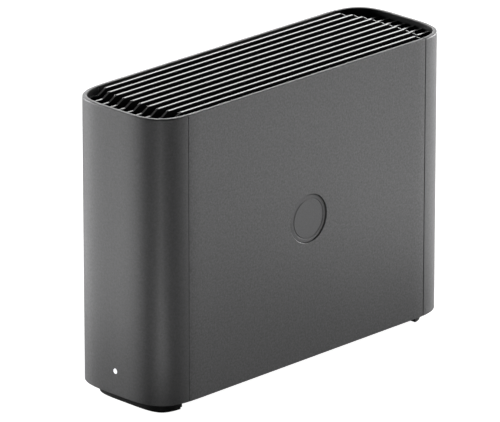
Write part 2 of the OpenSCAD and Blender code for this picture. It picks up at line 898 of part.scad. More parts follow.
// A folded metal box around each jack, open at the plug
module ethernet_shields() {
    x0 = board_face;
    open_x = x0 + shield_t + rj_open_rise;
    color("#b9bcc0") for (i = [0:rj_count - 1]) difference() {
        translate([x0, port_face_y - rj_d, jack_z(i) - rj_w / 2]) cube([rj_h, rj_d, rj_w]);
        translate([x0 + shield_t, port_face_y - rj_d + shield_t, jack_z(i) - rj_w / 2 + shield_t])
            cube([rj_h - 2 * shield_t, rj_d - 2 * shield_t, rj_w - 2 * shield_t]);
        translate([open_x, port_face_y - rj_d / 2, jack_z(i) - rj_open_w / 2])
            cube([rj_open_h, rj_d, rj_open_w]);
        translate([open_x + rj_open_h - over, port_face_y - rj_d / 2, jack_z(i) - rj_key_w / 2])
            cube([rj_key_h + over, rj_d, rj_key_w]);
    }
}

// Eight spring contacts on the board side of each opening
module ethernet_contacts() {
    open_x = board_face + shield_t + rj_open_rise;
    first_z = -(contact_count - 1) / 2 * contact_pitch - contact_w / 2;
    color("#d8b45a") for (i = [0:rj_count - 1], k = [0:contact_count - 1])
        translate([open_x, port_face_y - contact_setback, jack_z(i) + first_z + k * contact_pitch])
            linear_extrude(contact_w) polygon([[0, 0], [0, -contact_l], [contact_rise, -contact_l]]);
}

module usb_jack() {
    rib = usb_h / 2 - usb_open_h;
    color("#b9bcc0") difference() {
        translate([board_face, port_face_y - usb_d, usb_z - usb_w / 2]) cube([usb_h, usb_d, usb_w]);
        for (k = [0, 1])
            translate([
                board_face + rib / 2 + k * usb_h / 2,
                port_face_y - usb_open_d,
                usb_z - usb_w / 2 + shield_t
            ]) cube([usb_open_h, usb_open_d + over, usb_w - 2 * shield_t]);
    }
}

module usb_tongues() {
    rib = usb_h / 2 - usb_open_h;
    color("#f2f2f2") for (k = [0, 1])
        translate([
            board_face + rib / 2 + k * usb_h / 2 + usb_open_h - tongue_t - tongue_gap,
            port_face_y - usb_open_d,
            usb_z - usb_w / 2 + tongue_side
        ]) cube([tongue_t, usb_open_d - tongue_setback, usb_w - 2 * tongue_side]);
}

dc_axis_x = board_face + dc_h - dc_socket_dia / 2 - dc_roof_t;
dc_floor_y = port_face_y - dc_d + dc_floor_t;

module power_jack() {
    color("#1a1a1c") difference() {
        translate([board_face, port_face_y - dc_d, dc_z - dc_w / 2]) cube([dc_h, dc_d, dc_w]);
        translate([dc_axis_x, 0, dc_z]) rod_y(dc_socket_dia, dc_floor_y, dc_d);
    }
}

module power_jack_pin() {
    color("#c9ccd0") translate([dc_axis_x, 0, dc_z])
        rod_y(dc_pin_dia, dc_floor_y, dc_d - dc_floor_t - dc_pin_setback);
}

// ---- Buttons ----

module power_button() {
    color("#3a3b3d") translate([button_x, 0, power_z]) {
        rod_y(power_dia, flange_y - power_flange, io_y + power_proud - flange_y + power_flange);
        rod_y(power_dia + 2 * power_flange_w, flange_y - power_flange, power_flange);
        rod_y(stem_dia, flange_y - power_flange - stem_l, stem_l + bite);
    }
}

module reset_button() {
    color("#d8d8d8") translate([button_x, 0, reset_z])
        rod_y(stem_dia, switch_y - reset_travel - switch_rest, reset_travel + reset_stem_l);
}

module button_switches() {
    color("#2a2a2c") for (z = [power_z, reset_z]) difference() {
        translate([button_x - switch_w / 2, button_board_y, z - switch_w / 2])
            cube([switch_w, switch_h, switch_w]);
        translate([button_x, 0, z])
            rod_y(stem_dia + 2 * button_gap, switch_y - switch_well, switch_well + over);
    }
}

module button_board() {
    color("#1f5a38") difference() {
        translate([
            button_x - button_board_w / 2,
            button_board_y - button_board_t,
            post_z - button_board_h / 2
        ]) cube([button_board_w, button_board_t, button_board_h]);
        for (x = [-1, 1]) translate([button_x + x * post_spread, button_board_y - button_board_t, post_z])
            rod_y(small_screw_dia + 2 * fit_gap, -over, button_board_t + 2 * over);
    }
}

module button_board_posts() {
    color("#c9ccd0") for (x = [-1, 1]) translate([button_x + x * post_spread, 0, post_z]) difference() {
        rod_y(post_dia, button_board_y, io_y - io_t - button_board_y);
        rod_y(small_screw_dia + 2 * shaft_gap, button_board_y - over, post_hole_l + over);
    }
}

module button_board_screws() {
    color("#9a9da1") for (x = [-1, 1])
        translate([button_x + x * post_spread, button_board_y - button_board_t, post_z]) rotate([-90, 0, 0])
            screw(small_screw_dia, small_head_dia, button_board_t + post_hole_l - 1);
}

// ---- Main board ----

module main_board() {
    color("#1f5a38") difference() {
        translate([board_x, board_front, board_z]) cube([board_t, board_d, board_h]);
        for (s = standoff_spots) translate([board_x, s[0], s[1]])
            rod_x(small_screw_dia + 2 * fit_gap, -over, board_t + 2 * over);
        for (s = sink_screw_spots) translate([board_x, s[0], s[1]])
            rod_x(small_screw_dia + 2 * fit_gap, -over, board_t + 2 * over);
    }
}

module board_standoffs() {
    color("#c9a24a") for (s = standoff_spots) translate([0, s[0], s[1]]) difference() {
        rod_x(standoff_dia, web_x + sheet_t, standoff_h);
        rod_x(small_screw_dia + 2 * shaft_gap, web_x + sheet_t - over, standoff_h + 2 * over);
    }
}

module board_screws() {
    color("#9a9da1") for (s = standoff_spots) translate([board_face, s[0], s[1]]) rotate([0, -90, 0])
        flat_screw(small_screw_dia, small_head_dia, board_t + board_screw_end);
}

module processor() {
    color("#232428") translate([board_face, processor_y, processor_z]) {
        translate([0, -processor_w / 2, -processor_w / 2]) cube([processor_t / 2, processor_w, processor_w]);
        translate([processor_t / 2, -processor_w / 3, -processor_w / 3])
            cube([processor_t / 2, processor_w / 1.5, processor_w / 1.5]);
    }
}

module thermal_pad() {
    pad_w = processor_w / 1.5;
    color("#8f9aa8") translate([board_face + processor_t, processor_y - pad_w / 2, processor_z - pad_w / 2])
        cube([thermal_pad_t, pad_w, pad_w]);
}

module heat_sink() {
    color("#b4b7ba") translate([sink_x, processor_y, processor_z]) difference() {
        union() {
            translate([0, -sink_w / 2, -sink_w / 2]) cube([sink_base_t, sink_w, sink_w]);
            for (i = [0:sink_fin_count - 1])
                translate([sink_base_t - bite, -sink_w / 2 + i * sink_fin_pitch, -sink_w / 2])
                    cube([sink_fin_h + bite, sink_fin_t, sink_w]);
        }
        for (y = [-1, 1], z = [-1, 1]) translate([0, y * sink_hole, z * sink_hole]) {
            rod_x(small_screw_dia + 2 * fit_gap, -over, sink_base_t + 2 * over);
            rod_x(small_head_dia + 2 * sink_head_gap, sink_base_t, sink_fin_h + over);
        }
    }
}

module heat_sink_screws() {
    color("#9a9da1") for (s = sink_screw_spots) translate([sink_x + sink_base_t, s[0], s[1]])
        rotate([0, -90, 0]) screw(small_screw_dia, small_head_dia, sink_x + sink_base_t - board_x + 1);
}

memory_x = board_face + memory_rise;

module memory_socket() {
    color("#2a2a2c") difference() {
        translate([board_face, memory_y, memory_z - (socket_l - memory_l) / 2])
            cube([socket_h, socket_w, socket_l]);
        translate([memory_x - fit_gap, memory_y - over, memory_z - fit_gap])
            cube([memory_t + 2 * fit_gap, memory_in + over, memory_l + 2 * fit_gap]);
    }
}

module memory_module() {
    color("#1f5a38") translate([memory_x, memory_y + memory_in - memory_w, memory_z])
        cube([memory_t, memory_w, memory_l]);
    color("#232428") for (k = [0:3]) translate([
        memory_x + memory_t - bite,
        memory_y - memory_chip_y,
        memory_z + memory_chip_z + k * memory_chip_pitch
    ]) cube(memory_chip + [bite, 0, 0]);
}

module ssd_socket() {
    color("#2a2a2c") difference() {
        translate([board_face, ssd_y - ssd_in, ssd_z - ssd_w / 2]) cube([ssd_socket_h, ssd_socket_w, ssd_w]);
        translate([board_face + ssd_lift - fit_gap, ssd_y - ssd_in - over, ssd_z - ssd_w / 2 - over])
            cube([ssd_t + 2 * fit_gap, ssd_in + over, ssd_w + 2 * over]);
    }
}

module ssd_module() {
    color("#1f5a38") difference() {
        translate([board_face + ssd_lift, ssd_y - ssd_l, ssd_z - ssd_w / 2]) cube([ssd_t, ssd_l, ssd_w]);
        translate([board_face + ssd_lift, ssd_y - ssd_l, ssd_z])
            rod_x(small_screw_dia + 2 * fit_gap, -over, ssd_t + 2 * over);
    }
    color("#232428") for (y = ssd_chip_y)
        translate([board_face + ssd_lift + ssd_t - bite, ssd_y - ssd_l + y, ssd_z - ssd_chip.z / 2])
            cube(ssd_chip + [bite, 0, 0]);
}

// The post and screw at the free end of the storage module
module ssd_screw() {
    color("#c9a24a") translate([board_face, ssd_y - ssd_l, ssd_z]) {
        rod_x(standoff_dia, 0, ssd_lift);
        rod_x(small_screw_dia, 0, ssd_lift + ssd_t + bite);
        rod_x(small_head_dia + 1, ssd_lift + ssd_t, 1);
    }
}

module coin_cell_holder() {
    color("#2a2a2c") translate([board_face, cell_y, cell_z]) difference() {
        rod_x(cell_dia + 2 * cell_wall, 0, cell_holder_h);
        rod_x(cell_dia + 2 * fit_gap, cell_floor_t, cell_holder_h);
    }
}

module coin_cell() {
    color("#c9ccd0") translate([board_face + cell_floor_t, cell_y, cell_z]) rod_x(cell_dia, 0, cell_t);
}

module network_chips() {
    color("#232428") for (k = [0:1])
        translate([board_face, network_chip_spot[0], network_chip_spot[1] + k * network_chip_pitch])
            cube(network_chip);
}

module capacitors() {
    color("#3b3f47") for (k = [0:2])
        translate([board_face, capacitor_spot[0], capacitor_spot[1] + k * capacitor_pitch])
            rod_x(capacitor_dia, 0, capacitor_h);
}

module inductors() {
    color("#4a4a4d") for (k = [0:2])
        translate([board_face, inductor_y + k * inductor_pitch, inductor_z]) cube(inductor);
}

// Pin headers for the fan, status light and button leads
module board_headers() {
    color("#e8e4d8") for (p = [fan_header, led_header, button_header])
        translate([board_face, p[0] - header_w / 2, p[1] - header_h / 2])
            cube([header_x - board_face, header_w, header_h]);
}

// ---- Status light ----

module led_board() {
    color("#1f5a38") translate([-led_board_w / 2 - led_board_side, led_board_y, base_top])
        cube([led_board_w + 2 * led_board_side, led_board_t, led_board_h]);
}

module status_led() {
    color("#f4f4ee") translate([-led_w / 2, led_board_y - led_t, light_z - led_w / 2])
        cube([led_w, led_t, led_w]);
}

module light_pipe() {
    color("#fbfbfb") translate([0, 0, light_z]) {
        rod_y(light_dia, -end_y, led_board_y - led_t + end_y);
        rod_y(light_dia + 2 * pipe_flange_w, -end_y + wall, pipe_flange_t);
    }
}

// ---- Fan ----

module fan_place() { translate([fan_x, fan_y, 0]) children(); }

module fan_frame() {
    color("#1a1a1c") fan_place() {
        difference() {
            translate([-fan_w / 2, -fan_w / 2, base_top]) cube([fan_w, fan_w, fan_h]);
            translate([0, 0, base_top - over]) cylinder(d = fan_duct_dia, h = fan_h + 2 * over);
            for (x = [-1, 1], y = [-1, 1]) translate([x * fan_hole, y * fan_hole, base_top - over])
                cylinder(d = small_screw_dia + 2 * shaft_gap, h = fan_h + 2 * over);
        }
        translate([0, 0, fan_top - strut_h]) {
            cylinder(d = hub_dia, h = strut_h);
            for (k = [0:3]) rotate(strut_angle + k * 90)
                translate([hub_dia / 2 - over, -strut_w / 2, 0])
                    cube([(fan_duct_dia - hub_dia) / 2 + 2 * over, strut_w, strut_h]);
        }
    }
}

// Bearing tube and coils, hung from the frame's hub
module fan_stator() {
    color("#b06a3b") fan_place() difference() {
        union() {
            translate([0, 0, rotor_z + bearing_z])
                cylinder(d = bearing_dia, h = fan_top - strut_h - rotor_z - bearing_z);
            translate([0, 0, rotor_z + bearing_z + stator_gap])
                cylinder(d = stator_dia, h = rotor_top - rotor_z - bearing_z - 2 * stator_gap);
        }
        translate([0, 0, rotor_z])
            cylinder(d = shaft_dia + 2 * shaft_gap, h = fan_top - strut_h - rotor_z - bearing_roof_t);
    }
}

module fan_rotor() {
    rotor_h = rotor_top - rotor_z;
    blade_d = fan_duct_dia - 2 * rotor_gap;
    color("#2b2c2e") fan_place() translate([0, 0, rotor_z]) {
        difference() {
            cylinder(d = hub_dia, h = rotor_h);
            translate([0, 0, hub_floor_t]) cylinder(d = hub_dia - 2 * hub_wall, h = rotor_h);
        }
        translate([0, 0, bite]) cylinder(d = shaft_dia, h = fan_top - strut_h - rotor_z - shaft_end);
        intersection() {
            difference() {
                cylinder(d = blade_d, h = rotor_h);
                translate([0, 0, -over]) cylinder(d = hub_dia - hub_wall / 2, h = rotor_h + 2 * over);
            }
            for (k = [0:blade_count - 1]) rotate(k * 360 / blade_count)
                translate([(hub_dia + blade_d) / 4, 0, rotor_h / 2]) rotate([blade_tilt, 0, 0])
                    cube([(blade_d - hub_dia) / 2 + 2 * hub_wall, blade_t, rotor_h * 1.5], center = true);
        }
    }
}

module fan_screws() {
    color("#9a9da1") for (s = fan_screw_spots) translate([s.x, s.y, base_z + flat_head_t])
        flat_screw(small_screw_dia, small_head_dia, base_t + fan_screw_in);
}

// ---- Leads ----

// A point on the smooth curve through p1 and p2, with p0 and p3 beside them
function between(p0, p1, p2, p3, t) =
    p1 + (p2 - p0) * t / 2
    + (2 * p0 - 5 * p1 + 4 * p2 - p3) * pow(t, 2) / 2
    + (3 * p1 - p0 - 3 * p2 + p3) * pow(t, 3) / 2;
function smooth_route(p) =
    let (n = len(p) - 1)
    concat(
        [for (i = [0:n - 1], k = [0:lead_steps - 1])
            between(p[max(i - 1, 0)], p[i], p[i + 1], p[min(i + 2, n)], k / lead_steps)],
        [p[n]]
    );
function unit(v) = v / norm(v);

// A round tube swept along a route, its flat ends square to the first and last legs
module lead(route, side) {
    path = smooth_route(route);
    n = len(path);
    last = len(route) - 1;
    ways = concat(
        [unit(route[1] - route[0])],
        [for (i = [1:n - 2]) unit(path[i + 1] - path[i - 1])],
        [unit(route[last] - route[last - 1])]
    );
    rings = [
        for (i = [0:n - 1])
            let (u = unit(cross(ways[i], side)), v = cross(ways[i], u))
            for (k = [0:lead_sides - 1], a = [360 * k / lead_sides])
                path[i] + lead_dia / 2 * (cos(a) * u + sin(a) * v)
    ];
    polyhedron(rings, concat(
        [[for (k = [0:lead_sides - 1]) k]],
        [for (i = [0:n - 2], k = [0:lead_sides - 1], h = [0, 1])
            let (a = i * lead_sides + k, b = i * lead_sides + (k + 1) % lead_sides)
            h == 0 ? [a, a + lead_sides, b] : [b, a + lead_sides, b + lead_sides]],
        [[for (k = [lead_sides - 1:-1:0]) (n - 1) * lead_sides + k]]
    ));
}

module board_leads() {
    color("#2e2f33") for (route = [fan_lead_route, led_lead_route, button_lead_route]) lead(route, [0, 0, 1]);
}

front_cover();
rear_cover();
left_side_panel();
right_side_panel();
side_badge();
top_grille();
base_plate();
front_foot();
rear_foot();
front_foot_pad();
rear_foot_pad();
case_screws();
chassis_frame();
chassis_screws();
io_plate();
io_plate_screws();
lock_plate();
main_board();
board_standoffs();
board_screws();
processor();
thermal_pad();
heat_sink();
heat_sink_screws();
memory_module();
memory_socket();
ssd_module();
ssd_socket();
ssd_screw();
coin_cell();
coin_cell_holder();
network_chips();
capacitors();
inductors();
board_headers();
ethernet_jack_1();
ethernet_jack_2();
ethernet_jack_3();
ethernet_jack_4();
ethernet_shields();
ethernet_contacts();
usb_jack();
usb_tongues();
power_jack();
power_jack_pin();
power_button();
reset_button();
button_switches();
button_board();
button_board_posts();
button_board_screws();
led_board();
status_led();
light_pipe();
fan_frame();
fan_stator();
fan_rotor();
fan_screws();
board_leads();
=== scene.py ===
"""A slim upright network firewall box: its covers, panels, fins, feet and rear panel, dressed around the frame."""

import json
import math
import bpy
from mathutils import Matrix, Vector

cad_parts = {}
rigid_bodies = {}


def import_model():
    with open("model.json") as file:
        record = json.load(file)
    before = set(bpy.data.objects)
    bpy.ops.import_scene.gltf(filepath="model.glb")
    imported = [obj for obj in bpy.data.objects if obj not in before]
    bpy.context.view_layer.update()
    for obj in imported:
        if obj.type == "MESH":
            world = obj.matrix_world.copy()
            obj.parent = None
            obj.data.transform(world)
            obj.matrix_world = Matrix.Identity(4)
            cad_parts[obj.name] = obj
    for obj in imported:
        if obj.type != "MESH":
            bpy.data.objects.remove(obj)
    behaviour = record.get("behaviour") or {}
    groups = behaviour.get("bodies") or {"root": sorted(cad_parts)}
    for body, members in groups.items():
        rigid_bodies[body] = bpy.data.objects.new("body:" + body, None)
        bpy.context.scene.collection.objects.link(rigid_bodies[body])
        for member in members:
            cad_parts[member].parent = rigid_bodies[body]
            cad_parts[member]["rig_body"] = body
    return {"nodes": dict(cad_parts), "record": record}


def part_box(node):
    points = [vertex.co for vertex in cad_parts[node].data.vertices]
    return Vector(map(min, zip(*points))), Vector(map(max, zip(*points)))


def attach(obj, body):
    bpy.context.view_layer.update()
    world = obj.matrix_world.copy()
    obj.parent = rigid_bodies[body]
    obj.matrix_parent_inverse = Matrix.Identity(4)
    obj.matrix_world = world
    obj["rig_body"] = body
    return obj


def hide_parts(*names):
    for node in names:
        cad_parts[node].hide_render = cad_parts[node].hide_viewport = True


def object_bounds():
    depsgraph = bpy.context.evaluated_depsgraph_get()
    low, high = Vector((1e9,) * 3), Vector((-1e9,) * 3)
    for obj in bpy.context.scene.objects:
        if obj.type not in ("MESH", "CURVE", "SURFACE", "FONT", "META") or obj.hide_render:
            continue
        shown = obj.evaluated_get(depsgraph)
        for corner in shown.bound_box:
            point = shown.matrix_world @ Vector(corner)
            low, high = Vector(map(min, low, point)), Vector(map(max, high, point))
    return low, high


bl_info = {
    "name": "Desktop Firewall Box",
    "version": (1, 0, 0),
    "blender": (4, 5, 0),
    "location": "View3D > Sidebar > Firewall Box",
    "description": "Dresses a slim upright network firewall box with its covers, fins, feet and finishes",
    "category": "Add Mesh",
}

import bmesh
import bpy
import numpy as np
from mathutils import Matrix, Vector

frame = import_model()
CAD_LOW, CAD_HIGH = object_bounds()
MM = 0.001
# How far a joined shape reaches into the wall, and how far a cutting shape stands past the surface that it cuts
JOIN = 0.2 * MM
PROUD = 0.6 * MM
# Radii of inner edges, and the small clearances inside the case
FINE = 0.1 * MM
SOFT = 0.15 * MM
SLOT_OF = {part["node"]: part["material_slot"] for part in frame["record"]["subparts"]}
# Widths of the rounded edges of carried-over pieces that show, in millimetres
EDGES = {
    0.4: ("power_button",),
    0.25: ("usb_jack", "power_jack", "heat_sink"),
    0.12: ("ethernet_jack_1", "ethernet_jack_2", "ethernet_jack_3", "ethernet_jack_4", "io_plate_screws",
           "case_screws", "reset_button", "lock_plate", "fan_rotor"),
    0.08: ("ethernet_shields", "usb_tongues"),
}
# Routes of the inner leads in millimetres, each from its own board or the fan to a header on the main board
LEAD_ROUTES = {
    "fan": ((-12, -10, 26.2), (-12, -14, 26.2), (-8, -20, 29.2), (-4, -25, 32.2), (-5.8, -26, 33.7),
            (-9.8, -26, 33.7)),
    "light": ((0, -86.85, 20), (0, -82.45, 20), (0, -74.45, 23), (-2, -64.45, 30), (-5.8, -56.45, 33.7),
              (-9.8, -56.45, 33.7)),
    "buttons": ((8, 84.8, 117.5), (8, 81.4, 117.5), (6, 76.4, 119.5), (0, 71.4, 120.5), (-5.8, 71.4, 120.5),
                (-9.8, 71.4, 120.5)),
}
# Soft lamps round the object: azimuth from the front towards the right side in degrees, elevation in degrees,
# width and height in metres, radiance
LAMPS = {
    "front_light": (-70, 8, 0.5, 0.9, 36.0),
    "left_light": (-120, 8, 0.5, 0.9, 12.0),
    "rear_light": (180, 8, 1.3, 0.9, 14.0),
    "side_light": (160, 8, 0.5, 0.9, 18.0),
    "back_light": (225, 18, 0.9, 0.6, 5.2),
    "camera_light": (40, 8, 0.5, 0.9, 1.8),
    "slope_light": (-94, 48, 0.9, 0.9, 0.6),
}
# Bright patches of floor: azimuth in degrees, middle x and y, width and length in metres, radiance
PATCHES = {
    "front_patch": (-45, -0.24, -0.24, 0.30, 0.35, 0.80),
    "side_patch": (135, 0.24, 0.24, 0.30, 0.35, 0.70),
    "rear_patch": (180, 0.0, 0.34, 0.30, 0.35, 0.28),
    "corner_patch": (45, 0.207, -0.275, 0.07, 0.42, 0.9),
}


# ---------------------------------------------------------------- sizes and colours


def length(name, description, default):
    """A property for a length in metres that can't be negative."""
    return bpy.props.FloatProperty(
        name=name, description=description, default=default, min=0.0, unit="LENGTH", precision=4
    )


def colour(name, description, default):
    """A property for a linear colour."""
    return bpy.props.FloatVectorProperty(
        name=name, description=description, default=default, size=3, min=0.0, max=1.0, subtype="COLOR"
    )


class CaseSizes(bpy.types.PropertyGroup):
    """Sizes of the covers and panels"""

    width: length("Width", "Width of the case", CAD_HIGH.x - CAD_LOW.x)
    depth: length("Depth", "Depth of the case", CAD_HIGH.y - CAD_LOW.y)
    top: length("Top", "Height of the rim", CAD_HIGH.z)
    foot: length("Foot height", "Height of the case's lower edge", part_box("front_cover")[0].z)
    wall: length("Wall", "Thickness of covers and panels", 2.2 * MM)
    reach: length("Corner reach", "Reach of a corner curve along the sides", 29.0 * MM)
    power: bpy.props.FloatProperty(
        name="Corner power", description="Squareness of the corner curve; 2 is a circle", default=3.5, min=2.0
    )
    front_seam: length("Front seam", "Depth of the front cover's edge from the middle", -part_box("front_cover")[1].y)
    rear_seam: length("Rear seam", "Depth of the rear cover's edge from the middle", 80.1 * MM)
    panel_end: length("Panel end", "Depth of a panel's edge from the middle", 79.6 * MM)
    ledge: length("Ledge", "Width and height of the seating ledges", 1.5 * MM)
    strip_reach: length("Strip reach", "Reach of the strips behind the seams", 4.0 * MM)
    strip: length("Strip", "Thickness of the strips behind the seams", 1.2 * MM)
    rim_round: length("Rim round", "Radius of the rim's outer edge", 0.7 * MM)
    inner_round: length("Inner round", "Radius of the rim's inner edge", 0.3 * MM)
    seam_round: length("Seam round", "Radius of the edges at the seams", 0.15 * MM)


class GrilleSizes(bpy.types.PropertyGroup):
    """Sizes of the finned top grille"""

    count: bpy.props.IntProperty(name="Fins", description="Number of fins", default=10, min=1)
    pitch: length("Pitch", "Spacing of the fins", 5.54 * MM)
    thickness: length("Fin thickness", "Thickness of a fin", 1.8 * MM)
    edge: length("Fin edge", "Radius of a fin's top edges", 0.35 * MM)
    step: length("Step", "Drop of the fins at their ends", 2.35 * MM)
    top_setback: length("Top setback", "Distance from the case end to a fin's full height", 14.9 * MM)
    low_setback: length("Low setback", "Distance from the case end to a fin's low end", 10.8 * MM)
    gap: length("Gap", "Clearance between the grille and the wall", 0.15 * MM)
    ribs: bpy.props.IntProperty(name="Ribs", description="Number of cross ribs", default=5, min=1)
    rib: length("Rib thickness", "Thickness of a cross rib", 1.6 * MM)
    ring_height: length("Ring height", "Height of the ring and the ribs", 4.0 * MM)
    ring: length("Ring thickness", "Thickness of the ring", 1.5 * MM)


class DetailSizes(bpy.types.PropertyGroup):
    """Sizes of the badge, the status light, the openings, the feet and the leads"""

    badge_radius: length("Badge recess", "Radius of the badge's recess", 12.0 * MM)
    chamfer: length("Chamfer", "Chamfer round the recess and the openings", 0.25 * MM)
    light_hole: length("Light hole", "Radius of the status light's hole", 1.35 * MM)
    window_width: length("Window width", "Width of the window for the ports", 35.0 * MM)
    window_low: length("Window low", "Height of the window's lower edge", 28.2 * MM)
    window_high: length("Window high", "Height of the window's upper edge", 129.0 * MM)
    window_round: length("Window corner", "Corner radius of the window", 4.0 * MM)
    collar: length("Collar", "Wall of the collar round the window", 1.2 * MM)
    lock_width: length("Lock slot width", "Length of the lock slot", 7.0 * MM)
    lock_height: length("Lock slot height", "Width of the lock slot", 3.0 * MM)
    lock_place: bpy.props.FloatVectorProperty(
        name="Lock slot place", description="Middle of the lock slot across and up", size=2,
        default=(6.0 * MM, 20.0 * MM), unit="LENGTH",
    )
    foot_inset: length("Foot inset", "Inset of the feet from the case's sides", 6.7 * MM)
    pad_inset: length("Pad inset", "Inset of a pad from its foot's edge", 0.4 * MM)
    foot_round: length("Foot edge", "Rounding of the edges of a foot", 0.45 * MM)
    screw_side: length("Case screw place", "Distance of the case screws from the middle", 14.0 * MM)
    screw_hole: length("Case screw hole", "Radius of the case screws' holes", 1.65 * MM)
    screw_head: length("Case screw recess", "Radius of the recess for a case screw's head", 3.15 * MM)
    head_height: length("Case screw head", "Height of a case screw's head", 2.0 * MM)
    boss: length("Screw boss", "Radius of a screw boss", 3.2 * MM)
    boss_height: length("Boss height", "Height of a screw boss", 12.0 * MM)
    badge_groove: length("Badge groove", "Distance of the badge's groove from its edge", 1.6 * MM)
    groove_width: length("Groove width", "Width of the badge's groove at its floor", 0.42 * MM)
    groove_depth: length("Groove depth", "Depth of the badge's groove", 0.18 * MM)
    badge_round: length("Badge edge", "Radius of the badge's edge", 0.25 * MM)
    lens: length("Lens", "Radius of the status light's lens", 1.2 * MM)
    lead: length("Lead radius", "Radius of a lead", 1.0 * MM)


class Finishes(bpy.types.PropertyGroup):
    """Colours of the finishes, linear"""

    cover: colour("Cover", "Satin coat of the front and rear covers", (0.235, 0.235, 0.238))
    panel: colour("Panel", "Coarser coat of the side panels", (0.235, 0.235, 0.238))
    badge: colour("Badge", "Plain disc in the side panel", (0.27, 0.27, 0.275))
    # Also the colour of the painted shade on the inward faces of the covers and panels
    grille: colour("Grille", "Fins of the top grille", (0.010, 0.010, 0.0102))
    black: colour("Black", "Feet, base and port plate", (0.012, 0.012, 0.013))
    rubber: colour("Rubber", "Pads under the feet", (0.010, 0.010, 0.010))
    steel: colour("Steel", "Plated sheet and screws", (0.52, 0.53, 0.54))
    board: colour("Board", "Solder mask of the boards", (0.012, 0.080, 0.035))
    brass: colour("Brass", "Plated contacts and standoffs", (0.70, 0.50, 0.20))
    chip: colour("Chip", "Moulded chip packages", (0.018, 0.018, 0.020))
    pad: colour("Pad", "Thermal pad", (0.25, 0.29, 0.35))
    aluminium: colour("Aluminium", "Heat sink", (0.60, 0.61, 0.63))
    white: colour("White", "Pale moulded plastic", (0.72, 0.71, 0.66))
    copper: colour("Copper", "Enamelled windings", (0.42, 0.17, 0.07))
    light: colour("Light", "Colour of the status light", (0.95, 0.98, 1.0))
    floor: colour("Floor", "Floor as the object sees it", (0.36, 0.36, 0.36))


class StudioSettings(bpy.types.PropertyGroup):
    """Place of the camera and strength of the lights"""

    azimuth: bpy.props.FloatProperty(
        name="Azimuth", description="Camera's turn round the object", default=math.radians(44.836), subtype="ANGLE"
    )
    elevation: bpy.props.FloatProperty(
        name="Elevation", description="Camera's height above the horizon", default=math.radians(19.887),
        subtype="ANGLE",
    )
    distance: length("Distance", "Camera's distance from the object's middle", 3038.0 * MM)
    aim_height: length("Aim height", "Height of the point that the camera is set round", 74.0 * MM)
    shift_right: bpy.props.FloatProperty(
        name="Shift right", description="Camera's offset to its right", default=-5.765 * MM, unit="LENGTH"
    )
    shift_up: bpy.props.FloatProperty(
        name="Shift up", description="Camera's offset upwards", default=-1.048 * MM, unit="LENGTH"
    )
    lens: bpy.props.FloatProperty(
        name="Focal length", description="Focal length in millimetres on a sensor 36 mm wide", default=458.566
    )
    lamp_reach: length("Lamp distance", "Distance of the lamps from the object's middle", 2400.0 * MM)
    lamp_level: bpy.props.FloatProperty(
        name="Lamp level", description="Factor on the radiance of every lamp", default=1.0, min=0.0
    )
    sky: bpy.props.FloatProperty(name="Sky", description="Brightness of the surroundings", default=0.0)
    floor_reach: length("Floor reach", "Distance of the floor's edges from the middle", 6.0)


# ---------------------------------------------------------------- outlines and sections


def corner_curve(case, steps=600):
    """Points and outward normals of the right front quarter of the case's outline, from the front to the side.
    The two coordinates of the corner are its reach times the cosine and the sine of an angle, each to the
    power 2 over the squareness, and the normal takes the powers 2 less that."""
    angle = np.linspace(np.pi / 2, 0.0, steps)
    cosine, sine = np.abs(np.cos(angle)), np.sin(angle)
    share = 2.0 / case.power
    middle = np.array([case.width / 2 - case.reach, case.depth / 2 - case.reach])
    point = middle + case.reach * np.stack([cosine**share, sine**share], -1)
    normal = np.stack([cosine ** (2 - share), sine ** (2 - share)], -1)
    return point * [1, -1], normal / np.linalg.norm(normal, axis=-1, keepdims=True) * [1, -1]


def half_outline(case):
    """Points, normals and arc lengths of the outline's right half, from the middle of the front to the rear."""
    point, normal = corner_curve(case)
    points = np.concatenate([[[0, -case.depth / 2]], point, point[::-1] * [1, -1], [[0, case.depth / 2]]])
    normals = np.concatenate([[[0, -1]], normal, normal[::-1] * [1, -1], [[0, 1]]])
    return points, normals, np.concatenate([[0.0], np.cumsum(np.hypot(*np.diff(points, axis=0).T))])


def case_walk(case, places):
    """Points and outward normals of the outline at arc lengths from the middle of the front, left ones negative."""
    points, normals, run = half_outline(case)
    reached, side = np.abs(places), np.where(np.asarray(places) < 0, -1.0, 1.0)
    point = np.stack([side * np.interp(reached, run, points[:, 0]), np.interp(reached, run, points[:, 1])], -1)
    normal = np.stack([side * np.interp(reached, run, normals[:, 0]), np.interp(reached, run, normals[:, 1])], -1)
    return point, normal / np.linalg.norm(normal, axis=-1, keepdims=True)


def walk_to(case, y, inset=0.0):
    """Arc length from the middle of the front to where the outline, moved inwards by inset, reaches a depth y."""
    points, normals, run = half_outline(case)
    return float(np.interp(y, points[:, 1] - inset * normals[:, 1], run))


def end_depth(case, x, inset=0.0):
    """Depth, from the middle, of the outline's end at a distance x from the middle, moved inwards by inset."""
    point, normal = corner_curve(case)
    inner = point - inset * normal
    return np.interp(np.abs(x), inner[:, 0], -inner[:, 1])


def rounded_section(radii, steps=5, beside=0.2 * MM):
    """A rectangle's loop: for each point, which low or high side of a and of b it hangs from, and how far inside
    them it lies. Each corner is a quarter circle with a point beside it on both sides, so flats shade flat.
    The corners run low-low, high-low, high-high, low-high."""
    turn = np.linspace(0.0, np.pi / 2, steps)
    side_a, in_a, side_b, in_b = [], [], [], []
    for corner, radius in enumerate(radii):
        rising = np.concatenate([[0.0], radius * (1 - np.cos(turn)), [radius + beside]])
        falling = np.concatenate([[radius + beside], radius * (1 - np.sin(turn)), [0.0]])
        back = -1 if corner % 2 else 1
        in_a.append(rising[::back])
        in_b.append(falling[::back])
        side_a.append(np.full(rising.size, corner in (1, 2)))
        side_b.append(np.full(rising.size, corner in (2, 3)))
    return tuple(np.concatenate(values) for values in (side_a, in_a, side_b, in_b))


